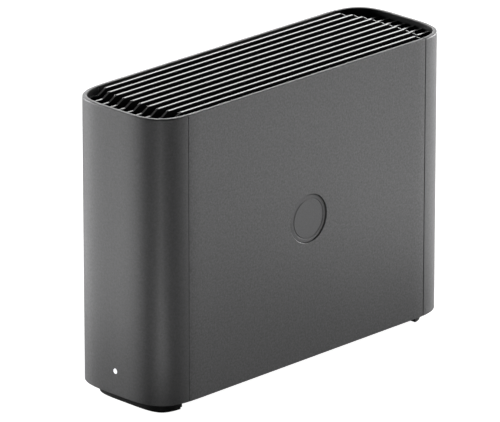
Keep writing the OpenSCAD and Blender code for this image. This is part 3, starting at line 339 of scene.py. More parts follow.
def placed_section(section, a, b, drawn=0.0):
    """The section between two values of a and of b, drawn in all round by each value of drawn."""
    side_a, in_a, side_b, in_b = section
    drawn = np.atleast_1d(drawn)[:, None]
    return (
        np.where(side_a, a[1] - drawn - in_a, a[0] + drawn + in_a),
        np.where(side_b, b[1] - drawn - in_b, b[0] + drawn + in_b),
    )


def rounded_ends(start, stop, radius, count, steps=4):
    """Places along a run and how far the section is drawn in there: a quarter circle at both ends."""
    turn = np.linspace(np.pi / 2, 0.0, steps)
    from_end, drawn = radius * (1 - np.sin(turn)), radius * (1 - np.cos(turn))
    middle = np.linspace(start + 2 * radius, stop - 2 * radius, count)
    places = np.concatenate([start + from_end, middle, (stop - from_end)[::-1]])
    return places, np.concatenate([drawn, np.zeros(count), drawn[::-1]])


# ---------------------------------------------------------------- shapes


def loft(rings, closed=False):
    """Closed cross-sections joined ring by ring, with flat end faces unless the rings come round again."""
    rows, cols = rings.shape[:2]
    index = np.arange(rows * cols).reshape(rows, cols)
    here = index if closed else index[:-1]
    there = np.roll(index, -1, axis=0) if closed else index[1:]
    quads = np.stack([here, np.roll(here, -1, 1), np.roll(there, -1, 1), there], axis=-1)
    faces = quads.reshape(-1, 4).tolist()
    if not closed:
        faces += [index[0][::-1].tolist(), index[-1].tolist()]
    return rings.reshape(-1, 3), faces


def together(*shapes):
    """Several shapes as one list of points and one of faces."""
    firsts = np.cumsum([0] + [len(points) for points, _ in shapes])
    faces = [[corner + first for corner in face] for (_, some), first in zip(shapes, firsts) for face in some]
    return np.concatenate([points for points, _ in shapes]), faces


def case_wall(case, start, stop, depths, heights, radii, edge, spacing=0.5 * MM, round_trip=False):
    """A wall along the outline between two arc lengths: a rounded rectangle of depth below the surface and of
    height, carried along the outline's normals. With round_trip it closes on itself."""
    count = max(3, int((stop - start) / spacing))
    if round_trip:
        places, drawn = np.linspace(start, stop, count, endpoint=False), np.zeros(count)
    else:
        places, drawn = rounded_ends(start, stop, edge, count)
    below, height = placed_section(rounded_section(radii), depths, heights, drawn)
    point, normal = case_walk(case, places)
    flat = point[:, None, :] - below[..., None] * normal[:, None, :]
    return loft(np.concatenate([flat, height[..., None]], axis=-1), closed=round_trip)


def block(low, high):
    """A box between two corners, as one rectangle carried from its floor to its top."""
    corners = np.array([[low[0], low[1]], [high[0], low[1]], [high[0], high[1]], [low[0], high[1]]])
    rings = np.zeros((2, 4, 3))
    rings[..., :2], rings[0, :, 2], rings[1, :, 2] = corners, low[2], high[2]
    return loft(rings)


def bar(low, high, radius):
    """A bar along X with rounded edges: a rounded rectangle of y and z carried from one x to the other."""
    places, drawn = rounded_ends(low[0], high[0], radius, 3)
    y, z = placed_section(rounded_section([radius] * 4, 4, radius / 2), (low[1], high[1]), (low[2], high[2]), drawn)
    return loft(np.stack([np.repeat(places[:, None], y.shape[1], axis=1), y, z], axis=-1))


# For each axis that a profile turns about: the coordinates of the cosine, of the sine and of the height
AXES = {"X": (1, 2, 0), "Y": (2, 0, 1), "Z": (0, 1, 2)}


def turned(profile, axis, centre, count=64):
    """A turned solid: each profile point's radius makes a circle about the axis at its height along the axis."""
    radius, height = np.asarray(profile, float).T
    angle = np.linspace(0.0, 2 * np.pi, count, endpoint=False)
    across, up, along = AXES[axis]
    rings = np.zeros((len(radius), count, 3))
    rings[..., across] = radius[:, None] * np.cos(angle)
    rings[..., up] = radius[:, None] * np.sin(angle)
    rings[..., along] = height[:, None]
    points, faces = loft(rings)
    return points + np.asarray(centre, float), faces


def arc(centre, radius, start, stop, steps=6):
    """Points of a circle's arc about a centre between two angles in degrees."""
    angle = np.radians(np.linspace(start, stop, steps))
    return (np.asarray(centre) + radius * np.stack([np.cos(angle), np.sin(angle)], -1)).tolist()


def rounded_path(width, height, corner, centre, grow=0.0, steps=12):
    """Points round a rectangle of x and z with rounded corners, grown outwards by grow."""
    turn = np.linspace(0.0, np.pi / 2, steps)
    out = np.stack([np.cos(turn), np.sin(turn)], -1)
    quarters = [
        out[::back] * [sign_x, sign_z] * (corner + grow)
        + [sign_x * (width / 2 - corner), sign_z * (height / 2 - corner)]
        for sign_x, sign_z, back in ((1, 1, 1), (-1, 1, -1), (-1, -1, 1), (1, -1, -1))
    ]
    return np.concatenate(quarters) + centre


def rear_plug(case, width, height, corner, centre, chamfer, inner_y):
    """What is cut from the rear wall: a rounded rectangle from inner_y outwards that widens by the chamfer where
    it meets the curved surface, whose depth at each x the outline gives."""
    straight = rounded_path(width, height, corner, centre)
    flared = rounded_path(width, height, corner, centre, chamfer + PROUD)
    rings = [
        (straight, np.full(len(straight), inner_y)),
        (straight, end_depth(case, straight[:, 0]) - chamfer),
        (flared, end_depth(case, flared[:, 0]) + PROUD),
        (flared, np.full(len(flared), case.depth / 2 + 2 * PROUD)),
    ]
    return loft(np.stack([np.stack([path[:, 0], y, path[:, 1]], -1) for path, y in rings]))


def rear_block(width, height, corner, centre, depths):
    """A rounded rectangle of x and z, filled, between two values of y."""
    path = rounded_path(width, height, corner, centre)
    return loft(np.stack([np.stack([path[:, 0], np.full(len(path), y), path[:, 1]], -1) for y in depths]))


def foot_block(case, inset, end, edge, heights):
    """A foot: the outline moved inwards by inset, beyond a depth edge at one end, between two heights."""
    reach, steps = walk_to(case, -edge, inset), 121
    point, normal = case_walk(case, np.linspace(-reach, reach, steps))
    plan = (point - inset * normal) * [1, -end]
    return loft(np.stack([np.column_stack([plan, np.full(len(plan), z)]) for z in heights]))


def fin_shape(case, grille, x, low, top, inset):
    """A fin: a rounded rectangle of x and z carried along y. Its top follows a line that steps down near the
    ends, averaged over a short length so the bends are soft, and its ends follow the inside of the wall."""
    end = float(end_depth(case, x))
    bends = np.array([end - grille.low_setback, end - grille.top_setback])
    blur, span, corner_steps = 0.45 * MM, 0.6 * MM, 4
    soft = np.linspace(-blur, blur, 15)
    near = np.concatenate([bend + np.linspace(-span, span, 7) for bend in bends])
    inner = np.sort(np.concatenate([near, [0.0, end * 0.5]]))
    drop = np.interp(inner[:, None] + soft, np.sort(bends), [0.0, grille.step]).mean(axis=1)
    turn = np.linspace(0.0, np.pi / 2, corner_steps)
    radius = grille.edge * 0.6
    from_end = radius * (1 - np.sin(turn))[::-1]
    drawn_end = radius * (1 - np.cos(turn))[::-1]
    drawn = np.concatenate([np.zeros(inner.size), drawn_end[::-1]])
    tops = top - np.concatenate([drop, np.full(from_end.size, grille.step)])
    half = grille.thickness / 2
    section = rounded_section([SOFT, SOFT, grille.edge, grille.edge], corner_steps, FINE)
    across, _ = placed_section(section, (x - half, x + half), (low, top), drawn)
    side_b, in_b = section[2], section[3]
    height = np.where(side_b, tops[:, None] - drawn[:, None] - in_b, low + in_b)
    depth = np.repeat(inner[:, None], across.shape[1], axis=1)
    tail = end_depth(case, across[inner.size:], inset) - from_end[::-1][:, None]
    depth = np.concatenate([depth, tail])
    rear = np.stack([across, depth, height], axis=-1)
    front = rear[::-1] * [1, -1, 1]
    return loft(np.concatenate([front[:-1], rear]))


def smooth_route(route, steps=10):
    """A cubic through each route point whose direction there is half the step between its neighbours."""
    route = np.asarray(route, float) * MM
    padded = np.concatenate([route[:1], route, route[-1:]])
    before, first, second, after = (padded[k:len(padded) - 3 + k, None, :] for k in range(4))
    t = np.linspace(0.0, 1.0, steps, endpoint=False)[None, :, None]
    curve = (
        first + (second - before) * t / 2
        + (2 * before - 5 * first + 4 * second - after) * t**2 / 2
        + (3 * first - before - 3 * second + after) * t**3 / 2
    )
    return np.concatenate([curve.reshape(-1, 3), route[-1:]])


def tube(route, radius, sides=18):
    """A round tube: circles about a smooth path, square to it, their first axis level."""
    path = smooth_route(route)
    ways = np.gradient(path, axis=0)
    ways[0], ways[-1] = np.subtract(route[1], route[0]), np.subtract(route[-1], route[-2])
    ways /= np.linalg.norm(ways, axis=1, keepdims=True)
    level = np.cross(ways, [0.0, 0.0, 1.0])
    level /= np.linalg.norm(level, axis=1, keepdims=True)
    upright = np.cross(ways, level)
    angle = np.linspace(0.0, 2 * np.pi, sides, endpoint=False)[None, :, None]
    return loft(path[:, None, :] + radius * (np.cos(angle) * level[:, None, :] + np.sin(angle) * upright[:, None, :]))


# ---------------------------------------------------------------- pieces


def clean(mesh, angle=32):
    """Points that lie together become one, faces point outwards, and edges over the angle stay sharp."""
    work = bmesh.new()
    work.from_mesh(mesh)
    bmesh.ops.remove_doubles(work, verts=work.verts, dist=1e-7)
    bmesh.ops.recalc_face_normals(work, faces=work.faces)
    work.to_mesh(mesh)
    work.free()
    mesh.shade_smooth()
    mesh.set_sharp_from_angle(angle=math.radians(angle))


def middle_of(node):
    """The x, y and z of the middle of a CAD node's box."""
    return [(low + high) / 2 for low, high in zip(*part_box(node))]


def mesh_object(name, shape):
    """A new object in the scene whose mesh is the shape's points and faces, cleaned."""
    points, faces = shape
    mesh = bpy.data.meshes.new(name)
    mesh.from_pydata(points.tolist(), [], faces)
    clean(mesh)
    piece = bpy.data.objects.new(name, mesh)
    bpy.context.scene.collection.objects.link(piece)
    return piece


def combine(piece, operation, *shapes):
    """Joins each shape to the piece, or cuts it from it, as a Boolean that is applied at once."""
    for shape in shapes:
        other = mesh_object("other", shape)
        step = piece.modifiers.new("step", "BOOLEAN")
        step.operation, step.solver, step.object = operation, "EXACT", other
        made = bpy.data.meshes.new_from_object(piece.evaluated_get(bpy.context.evaluated_depsgraph_get()))
        if not made.polygons:
            raise RuntimeError(f"the Boolean on {piece.name} left nothing")
        piece.modifiers.clear()
        piece.data = made
        bpy.data.objects.remove(other)
        clean(piece.data)
    return piece


def settle(piece, *nodes):
    """The piece gets its finish, stands for its nodes and rides on their body."""
    piece.data.materials.clear()
    piece.data.materials.append(bpy.data.materials[SLOT_OF[nodes[0]]])
    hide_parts(*nodes)
    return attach(piece, frame["nodes"][nodes[0]]["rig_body"])


def rounded_edges(piece, width, segments=3, angle=38):
    """Rounds the edges that turn by more than the angle, as a live Bevel."""
    bevel = piece.modifiers.new("edges", "BEVEL")
    bevel.width, bevel.segments, bevel.limit_method = width, segments, "ANGLE"
    bevel.angle_limit = math.radians(angle)
    bevel.miter_outer = "MITER_ARC"


# ---------------------------------------------------------------- finishes


def shader_group(name, inputs, outputs):
    """An empty node group with its sockets, and its input and output nodes."""
    group = bpy.data.node_groups.new(name, "ShaderNodeTree")
    for label, kind, default in inputs:
        group.interface.new_socket(label, in_out="INPUT", socket_type=kind).default_value = default
    for label, kind in outputs:
        group.interface.new_socket(label, in_out="OUTPUT", socket_type=kind)
    return group, group.nodes.new("NodeGroupInput"), group.nodes.new("NodeGroupOutput")


def math_node(tree, operation, first, second):
    """A Math node whose two inputs are sockets or numbers."""
    node = tree.nodes.new("ShaderNodeMath")
    node.operation = operation
    for socket, value in zip(node.inputs, (first, second)):
        if isinstance(value, (int, float)):
            socket.default_value = value
        else:
            tree.links.new(value, socket)
    return node.outputs[0]


def tinted(tree, base, factor):
    """A colour multiplied by a value that varies."""
    scale = tree.nodes.new("ShaderNodeVectorMath")
    scale.operation = "SCALE"
    tree.links.new(base, scale.inputs[0])
    tree.links.new(factor, scale.inputs["Scale"])
    return scale.outputs[0]


def noise_node(tree, vector, scale, detail, roughness=0.5):
    """A noise texture on a vector, whose scale is a number or a socket, less its mean."""
    noise = tree.nodes.new("ShaderNodeTexNoise")
    noise.inputs["Detail"].default_value = detail
    noise.inputs["Roughness"].default_value = roughness
    tree.links.new(vector, noise.inputs["Vector"])
    if isinstance(scale, (int, float)):
        noise.inputs["Scale"].default_value = scale
    else:
        tree.links.new(scale, noise.inputs["Scale"])
    return math_node(tree, "SUBTRACT", noise.outputs["Fac"], 0.5)


def coat_grain_group():
    """Powder coat or moulded grain: fine noise sets the height and a speckle, wide noise varies colour and gloss."""
    group, given, result = shader_group(
        "coat_grain",
        [("Color", "NodeSocketColor", (0.1, 0.1, 0.1, 1)), ("Grain", "NodeSocketFloat", 2000.0),
         ("Speckle", "NodeSocketFloat", 0.2), ("Mottle", "NodeSocketFloat", 0.05),
         ("Roughness", "NodeSocketFloat", 0.5), ("Gloss Spread", "NodeSocketFloat", 0.05)],
        [("Color", "NodeSocketColor"), ("Roughness", "NodeSocketFloat"), ("Height", "NodeSocketFloat")],
    )
    place = group.nodes.new("ShaderNodeTexCoord").outputs["Object"]
    wide = 34.0
    fine = noise_node(group, place, given.outputs["Grain"], 2.5, 0.6)
    drift = noise_node(group, place, wide, 3.0)
    speckle = math_node(group, "MULTIPLY", fine, given.outputs["Speckle"])
    mottle = math_node(group, "MULTIPLY", drift, given.outputs["Mottle"])
    shade = math_node(group, "ADD", math_node(group, "ADD", speckle, mottle), 1.0)
    spread = math_node(group, "MULTIPLY", drift, given.outputs["Gloss Spread"])
    group.links.new(tinted(group, given.outputs["Color"], shade), result.inputs["Color"])
    group.links.new(math_node(group, "ADD", given.outputs["Roughness"], spread), result.inputs["Roughness"])
    group.links.new(fine, result.inputs["Height"])
    return group


def brushed_group():
    """Rolled or drawn metal: noise stretched along one axis sets the height, the gloss and a faint tone."""
    group, given, result = shader_group(
        "brushed",
        [("Color", "NodeSocketColor", (0.5, 0.5, 0.5, 1)), ("Stretch", "NodeSocketVector", (60, 60, 2500)),
         ("Roughness", "NodeSocketFloat", 0.35)],
        [("Color", "NodeSocketColor"), ("Roughness", "NodeSocketFloat"), ("Height", "NodeSocketFloat")],
    )
    stretch = group.nodes.new("ShaderNodeVectorMath")
    stretch.operation = "MULTIPLY"
    group.links.new(group.nodes.new("ShaderNodeTexCoord").outputs["Object"], stretch.inputs[0])
    group.links.new(given.outputs["Stretch"], stretch.inputs[1])
    lines = noise_node(group, stretch.outputs[0], 1.0, 4.0)
    tone_spread, gloss_spread = 0.25, 0.3
    shade = math_node(group, "ADD", math_node(group, "MULTIPLY", lines, tone_spread), 1.0)
    gloss = math_node(group, "MULTIPLY", lines, gloss_spread)
    group.links.new(tinted(group, given.outputs["Color"], shade), result.inputs["Color"])
    group.links.new(math_node(group, "ADD", given.outputs["Roughness"], gloss), result.inputs["Roughness"])
    group.links.new(lines, result.inputs["Height"])
    return group


def painted_inner_shade_group():
    """Painted shade: a near-black colour, with no metallic share, where a face turns inwards, so where its normal
    times the unit direction outwards, along ((x / half width)^5, (y / half depth)^5), is less than -0.3."""
    squareness, inward = 5.0, -0.3
    group, given, result = shader_group(
        "painted_inner_shade",
        [("Color", "NodeSocketColor", (0.2, 0.2, 0.2, 1)), ("Painted Shade", "NodeSocketColor", (0.01, 0.01, 0.01, 1)),
         ("Metallic", "NodeSocketFloat", 0.3), ("Half Size", "NodeSocketVector", (1, 1, 1))],
        [("Color", "NodeSocketColor"), ("Metallic", "NodeSocketFloat")],
    )
    place = group.nodes.new("ShaderNodeTexCoord")
    share = group.nodes.new("ShaderNodeVectorMath")
    share.operation = "DIVIDE"
    group.links.new(place.outputs["Object"], share.inputs[0])
    group.links.new(given.outputs["Half Size"], share.inputs[1])
    split, outward = group.nodes.new("ShaderNodeSeparateXYZ"), group.nodes.new("ShaderNodeCombineXYZ")
    group.links.new(share.outputs[0], split.inputs[0])
    for axis in "XY":
        group.links.new(math_node(group, "POWER", split.outputs[axis], squareness), outward.inputs[axis])
    unit, turned_out = group.nodes.new("ShaderNodeVectorMath"), group.nodes.new("ShaderNodeVectorMath")
    unit.operation, turned_out.operation = "NORMALIZE", "DOT_PRODUCT"
    group.links.new(outward.outputs[0], unit.inputs[0])
    group.links.new(unit.outputs[0], turned_out.inputs[0])
    group.links.new(place.outputs["Normal"], turned_out.inputs[1])
    # 1 where the face turns outwards and keeps its coat colour, 0 where it takes the painted shade
    unshaded_side = math_node(group, "GREATER_THAN", turned_out.outputs["Value"], inward)
    mix = group.nodes.new("ShaderNodeMix")
    mix.data_type = "RGBA"
    group.links.new(unshaded_side, mix.inputs["Factor"])
    group.links.new(given.outputs["Painted Shade"], mix.inputs["A"])
    group.links.new(given.outputs["Color"], mix.inputs["B"])
    group.links.new(mix.outputs["Result"], result.inputs["Color"])
    group.links.new(math_node(group, "MULTIPLY", given.outputs["Metallic"], unshaded_side), result.inputs["Metallic"])
    return group


def tracks_group():
    """A printed board: copper tracks as thin lines of a brick pattern that show lighter through the mask."""
    group, given, result = shader_group(
        "tracks",
        [("Color", "NodeSocketColor", (0.01, 0.08, 0.03, 1)), ("Scale", "NodeSocketFloat", 300.0)],
        [("Color", "NodeSocketColor"), ("Height", "NodeSocketFloat")],
    )
    split = group.nodes.new("ShaderNodeSeparateXYZ")
    group.links.new(group.nodes.new("ShaderNodeTexCoord").outputs["Object"], split.inputs[0])
    flat = group.nodes.new("ShaderNodeCombineXYZ")
    group.links.new(math_node(group, "ADD", split.outputs["X"], split.outputs["Y"]), flat.inputs["X"])
    group.links.new(split.outputs["Z"], flat.inputs["Y"])
    lanes = group.nodes.new("ShaderNodeTexBrick")
    for label, value in {
        "Color1": (0, 0, 0, 1), "Color2": (0.25, 0.25, 0.25, 1), "Mortar": (1, 1, 1, 1),
        "Mortar Size": 0.035, "Brick Width": 2.3, "Row Height": 0.33,
    }.items():
        lanes.inputs[label].default_value = value
    group.links.new(flat.outputs[0], lanes.inputs["Vector"])
    group.links.new(given.outputs["Scale"], lanes.inputs["Scale"])
    lighter = 0.9
    shade = math_node(group, "ADD", math_node(group, "MULTIPLY", lanes.outputs["Color"], lighter), 1.0)
    group.links.new(tinted(group, given.outputs["Color"], shade), result.inputs["Color"])
    group.links.new(lanes.outputs["Color"], result.inputs["Height"])
    return group


def plain_material(name, tone, roughness, **sockets):
    """A material with one Principled BSDF whose plain values are set; the frame's own is taken over by its name."""
    material = bpy.data.materials.get(name) or bpy.data.materials.new(name)
    material.use_nodes = True
    shader = material.node_tree.nodes["Principled BSDF"]
    shader.inputs["Base Color"].default_value = (*tone, 1.0)
    shader.inputs["Roughness"].default_value = roughness
    for socket, value in sockets.items():
        shader.inputs[socket.replace("_", " ")].default_value = value
    return material, shader


def grouped(material, shader, group, values, bump, distance):
    """Places a group in the material and feeds its colour, roughness and height to the shader."""
    nodes, links = material.node_tree.nodes, material.node_tree.links
    effect = nodes.new("ShaderNodeGroup")
    effect.node_tree = group
    effect.inputs["Color"].default_value = shader.inputs["Base Color"].default_value
    if "Roughness" in effect.inputs:
        effect.inputs["Roughness"].default_value = shader.inputs["Roughness"].default_value
        links.new(effect.outputs["Roughness"], shader.inputs["Roughness"])
    for label, value in values.items():
        effect.inputs[label].default_value = value
    relief = nodes.new("ShaderNodeBump")
    relief.inputs["Strength"].default_value = bump
    relief.inputs["Distance"].default_value = distance
    links.new(effect.outputs["Color"], shader.inputs["Base Color"])
    links.new(effect.outputs["Height"], relief.inputs["Height"])
    links.new(relief.outputs["Normal"], shader.inputs["Normal"])


def painted_inner_shade(name, group, shade_tone, case):
    """Paints shade, a near-black colour, on a coated finish where its piece faces the inside of the case."""
    tree = bpy.data.materials[name].node_tree
    shader, effect = tree.nodes["Principled BSDF"], tree.nodes.new("ShaderNodeGroup")
    effect.node_tree = group
    effect.inputs["Painted Shade"].default_value = (*shade_tone, 1.0)
    effect.inputs["Metallic"].default_value = shader.inputs["Metallic"].default_value
    effect.inputs["Half Size"].default_value = (case.width / 2, case.depth / 2, 1.0)
    tree.links.new(shader.inputs["Base Color"].links[0].from_socket, effect.inputs["Color"])
    tree.links.new(effect.outputs["Color"], shader.inputs["Base Color"])
    tree.links.new(effect.outputs["Metallic"], shader.inputs["Metallic"])


def make_finishes(finish, case):
    """Every finish of the object, each named as its slot."""
    grain, brushed, tracks, inside = coat_grain_group(), brushed_group(), tracks_group(), painted_inner_shade_group()

    def coated(name, tone, roughness, size, speckle, bump, **sockets):
        """A coat or moulding: its roughness, the grain's scale, how far the grain shades it, and its relief."""
        material, shader = plain_material(name, tone, roughness, **sockets)
        values = {"Grain": size, "Speckle": speckle, "Mottle": 0.06, "Gloss Spread": 0.08}
        grouped(material, shader, grain, values, bump, 0.1 * MM)

    def metal(name, tone, roughness, stretch):
        """A bare metal: its roughness, and the scale of its lines along each axis."""
        material, shader = plain_material(name, tone, roughness, Metallic=1.0)
        grouped(material, shader, brushed, {"Stretch": stretch}, 0.15, 0.01 * MM)

    coated("cover_finish", finish.cover, 0.45, 1000.0, 0.6, 0.15, Metallic=0.3)
    coated("panel_finish", finish.panel, 0.45, 1050.0, 1.0, 0.55, Metallic=0.3)
    # The inward faces of the covers and panels get the grille's near-black colour as painted shade inside the case
    for name in ("cover_finish", "panel_finish"):
        painted_inner_shade(name, inside, finish.grille, case)
    coated("badge_finish", finish.badge, 0.60, 1600.0, 0.4, 0.08)
    coated("grille_finish", finish.grille, 0.20, 1200.0, 0.3, 0.004)
    coated("black_plastic", finish.black, 0.45, 2200.0, 0.4, 0.25)
    coated("rubber_pad", finish.rubber, 0.75, 1400.0, 0.5, 0.35)
    coated("chip_black", finish.chip, 0.55, 3000.0, 0.4, 0.20)
    coated("thermal_pad", finish.pad, 0.70, 900.0, 0.2, 0.20)
    coated("white_plastic", finish.white, 0.45, 2000.0, 0.08, 0.10)
    coated("lead_sleeve", finish.black, 0.35, 1800.0, 0.3, 0.15)
    metal("screw_steel", finish.steel, 0.34, (900, 900, 900))
    metal("sheet_steel", finish.steel, 0.30, (60, 60, 2500))
    metal("brass", finish.brass, 0.30, (900, 900, 900))
    metal("sink_aluminium", finish.aluminium, 0.38, (2500, 2500, 60))
    metal("fan_coil", finish.copper, 0.32, (200, 200, 5200))
    board, board_shader = plain_material("board_green", finish.board, 0.35, Coat_Weight=0.3)
    grouped(board, board_shader, tracks, {"Scale": 420.0}, 0.2, 0.02 * MM)
    plain_material("light_pipe", finish.light, 0.25, Emission_Color=(*finish.light, 1.0), Emission_Strength=1.0)


# ---------------------------------------------------------------- operators


class FIREWALL_OT_finishes(bpy.types.Operator):
    """Makes every finish and gives each frame node its own"""

    bl_idname = "firewall.finishes"
    bl_label = "Finishes"
    bl_options = {"REGISTER", "UNDO"}

    def execute(self, context):
        make_finishes(context.scene.firewall_finishes, context.scene.firewall_case)
        for name, node in frame["nodes"].items():
            for slot in node.material_slots:
                slot.material = bpy.data.materials[SLOT_OF[name]]
        return {"FINISHED"}


def rim_radii(case):
    """Radii of a wall's section: outside below, inside below, inside above and the rim's outer edge."""
    return [0.4 * MM, case.inner_round, case.inner_round, case.rim_round]


def cover_shell(name, case, seam, end):
    """A cover round one end of the case: its wall between the seams and two ledges."""
    reach = walk_to(case, -seam)
    rim, short = rim_radii(case), 0.3 * MM
    base, under_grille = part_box("chassis_frame")[0].z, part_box("top_grille")[0].z - case.ledge
    turn = np.array([-end, -end, 1])
    points, faces = case_wall(case, -reach, reach, (0.0, case.wall), (case.foot, case.top), rim, case.seam_round)
    shell = mesh_object(name, (points * turn, faces))
    for low in (base, under_grille):
        points, faces = case_wall(
            case, short - reach, reach - short, (case.wall - JOIN, case.wall + case.ledge),
            (low, low + case.ledge), [SOFT] * 4, SOFT,
        )
        combine(shell, "UNION", (points * turn, faces))
    return shell


def boss_shapes(case, detail, end, y):
    """Two tapped bosses with a rib to the wall, and the holes that are cut from them."""
    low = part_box("chassis_frame")[0].z
    outer, inner, height = detail.boss, detail.screw_hole, detail.boss_height
    bevel, half_rib, tip = 0.3 * MM, MM, (0.2 * MM, height - 0.4 * MM)
    solids, holes = [], []
    for x in (-detail.screw_side, detail.screw_side):
        solids.append(turned([(outer, 0.0), (outer, height - bevel), (outer - bevel, height)], "Z", (x, y, low), 32))
        wall = end * float(end_depth(case, x, case.wall - 0.3 * MM))
        solids.append(block(
            (x - half_rib, min(y, wall), low + FINE), (x + half_rib, max(y, wall), low + height - 0.5 * MM)
        ))
        holes.append(turned([(inner, -MM), (inner, height - MM), tip], "Z", (x, y, low), 32))
    return solids, holes


class FIREWALL_OT_front_cover(bpy.types.Operator):
    """Makes the rounded front cover with the status light's hole"""

    bl_idname = "firewall.front_cover"
    bl_label = "Front Cover"
    bl_options = {"REGISTER", "UNDO"}

    def execute(self, context):
        case, detail = context.scene.firewall_case, context.scene.firewall_details
        shell = cover_shell("front_cover_shell", case, case.front_seam, -1)
        solids, holes = boss_shapes(case, detail, -1, middle_of("front_foot")[1])
        combine(shell, "UNION", *solids)
        combine(shell, "DIFFERENCE", *holes)
        radius, chamfer = detail.light_hole, detail.chamfer * 0.5
        mouth = [(radius + chamfer + MM, -MM), (radius, chamfer), (radius, 5 * MM)]
        combine(shell, "DIFFERENCE", turned(mouth, "Y", (0, -case.depth / 2, middle_of("light_pipe")[2]), 40))
        settle(shell, "front_cover")
        return {"FINISHED"}


class FIREWALL_OT_rear_cover(bpy.types.Operator):
    """Makes the rounded rear cover with the window for the ports and the lock slot"""

    bl_idname = "firewall.rear_cover"
    bl_label = "Rear Cover"
    bl_options = {"REGISTER", "UNDO"}

    def execute(self, context):
        case, detail = context.scene.firewall_case, context.scene.firewall_details
        shell = cover_shell("rear_cover_shell", case, case.rear_seam, 1)
        solids, holes = boss_shapes(case, detail, 1, middle_of("rear_foot")[1])
        width, height = detail.window_width, detail.window_high - detail.window_low
        centre = (0.0, (detail.window_high + detail.window_low) / 2)
        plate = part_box("io_plate")[1].y
        solids.append(rear_block(
            width + 2 * detail.collar, height + 2 * detail.collar, detail.window_round + detail.collar, centre,
            (plate, case.depth / 2 - case.wall - JOIN),
        ))
        combine(shell, "UNION", *solids)
        combine(shell, "DIFFERENCE", *holes)
        combine(
            shell, "DIFFERENCE",
            rear_plug(case, width, height, detail.window_round, centre, 2 * detail.chamfer, plate - MM),
            rear_plug(case, detail.lock_width, detail.lock_height, detail.lock_height / 2 - 0.01 * MM,
                      tuple(detail.lock_place), detail.chamfer, case.depth / 2 - 3 * case.wall),
        )
        settle(shell, "rear_cover")
        return {"FINISHED"}


class FIREWALL_OT_side_panels(bpy.types.Operator):
    """Makes the two flat side panels, with the badge's recess in the right one"""

    bl_idname = "firewall.side_panels"
    bl_label = "Side Panels"
    bl_options = {"REGISTER", "UNDO"}

    def execute(self, context):
        case, detail = context.scene.firewall_case, context.scene.firewall_details
        base, under_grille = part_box("chassis_frame")[0].z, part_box("top_grille")[0].z - case.ledge
        start, stop = walk_to(case, -case.panel_end), walk_to(case, case.panel_end)
        strip = (base + case.ledge + MM, under_grille - MM)
        inner_strip = (strip[0] + FINE, strip[1] - FINE)
        root, free, short = 5 * MM, 4.8 * MM, 0.3 * MM
        overlap = (case.wall - JOIN, case.wall + case.strip)
        clear = (case.wall + SOFT, case.wall + case.strip)
        parts = [
            (start + short, stop - short, (overlap[0], case.wall + case.ledge), (low, low + case.ledge))
            for low in (base, under_grille)
        ]
        parts += [
            (start + FINE, start + root, overlap, strip),
            (stop - root, stop - FINE, overlap, strip),
            (start - case.strip_reach, start + free, clear, inner_strip),
            (stop - free, stop + case.strip_reach, clear, inner_strip),
        ]
        for name, node, side in (("right_panel", "right_side_panel", 1), ("left_panel", "left_side_panel", -1)):
            mirror = np.array([side, 1, 1])
            points, faces = case_wall(case, start, stop, (0.0, case.wall), (case.foot, case.top),
                                      rim_radii(case), case.seam_round, spacing=MM)
            panel = mesh_object(name, (points * mirror, faces))
            for first, last, depths, heights in parts:
                points, faces = case_wall(case, first, last, depths, heights, [FINE] * 4, FINE, spacing=MM)
                combine(panel, "UNION", (points * mirror, faces))
            if side > 0:
                bottom, radius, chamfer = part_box("side_badge")[0].x, detail.badge_radius, detail.chamfer
                surface = case.width / 2 - bottom
                recess = [(radius, 0.0), (radius, surface - chamfer), (radius + chamfer + PROUD, surface + PROUD)]
                combine(panel, "DIFFERENCE", turned(recess, "X", (bottom, *middle_of("side_badge")[1:]), 128))
            settle(panel, node)
        return {"FINISHED"}


class FIREWALL_OT_badge(bpy.types.Operator):
    """Makes the plain round badge, with a rounded edge and a fine groove inside it"""

    bl_idname = "firewall.badge"
    bl_label = "Badge"
    bl_options = {"REGISTER", "UNDO"}

    def execute(self, context):
        detail = context.scene.firewall_details
        low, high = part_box("side_badge")
        radius, face = (high.y - low.y) / 2, high.x - low.x
        lip, groove, ring = detail.badge_round, detail.groove_depth, radius - detail.badge_groove
        floor_end = ring - groove - detail.groove_width
        edge = [(radius - lip + a, face - lip + b) for a, b in arc((0, 0), lip, 0, 90)]
        cut = [(ring, face), (ring - groove, face - groove), (floor_end, face - groove), (floor_end - groove, face)]
        profile = [(radius, 0.0), *edge, *cut, (0.02 * MM, face)]
        badge = mesh_object("badge_disc", turned(profile, "X", (low.x, *middle_of("side_badge")[1:]), 128))
        settle(badge, "side_badge")
        return {"FINISHED"}


class FIREWALL_OT_grille(bpy.types.Operator):
    """Makes the top grille: its stepped fins, the ring they stand on and the ribs that cross it"""

    bl_idname = "firewall.grille"
    bl_label = "Top Grille"
    bl_options = {"REGISTER", "UNDO"}

    def execute(self, context):
        case, grille = context.scene.firewall_case, context.scene.firewall_grille
        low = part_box("top_grille")[0].z
        inset = case.wall + grille.gap
        half = half_outline(case)[2][-1]
        soft = 0.2 * MM
        ring = case_wall(case, -half, half, (inset, inset + grille.ring), (low, low + grille.ring_height),
                         [soft] * 4, 0.0, spacing=MM, round_trip=True)
        fins = [
            fin_shape(case, grille, (k - (grille.count - 1) / 2) * grille.pitch, low, case.top, inset)
            for k in range(grille.count)
        ]
        side = case.width / 2 - inset - grille.ring / 2
        ribs = [
            bar((-side, y - grille.rib / 2, low + 0.02 * MM), (side, y + grille.rib / 2, low + grille.ring_height),
                soft)
            for y in ((np.arange(grille.ribs) + 0.5) / grille.ribs - 0.5) * 2 * case.panel_end
        ]
        piece = mesh_object("top_grille_fins", together(ring, *fins, *ribs))
        settle(piece, "top_grille")
        return {"FINISHED"}


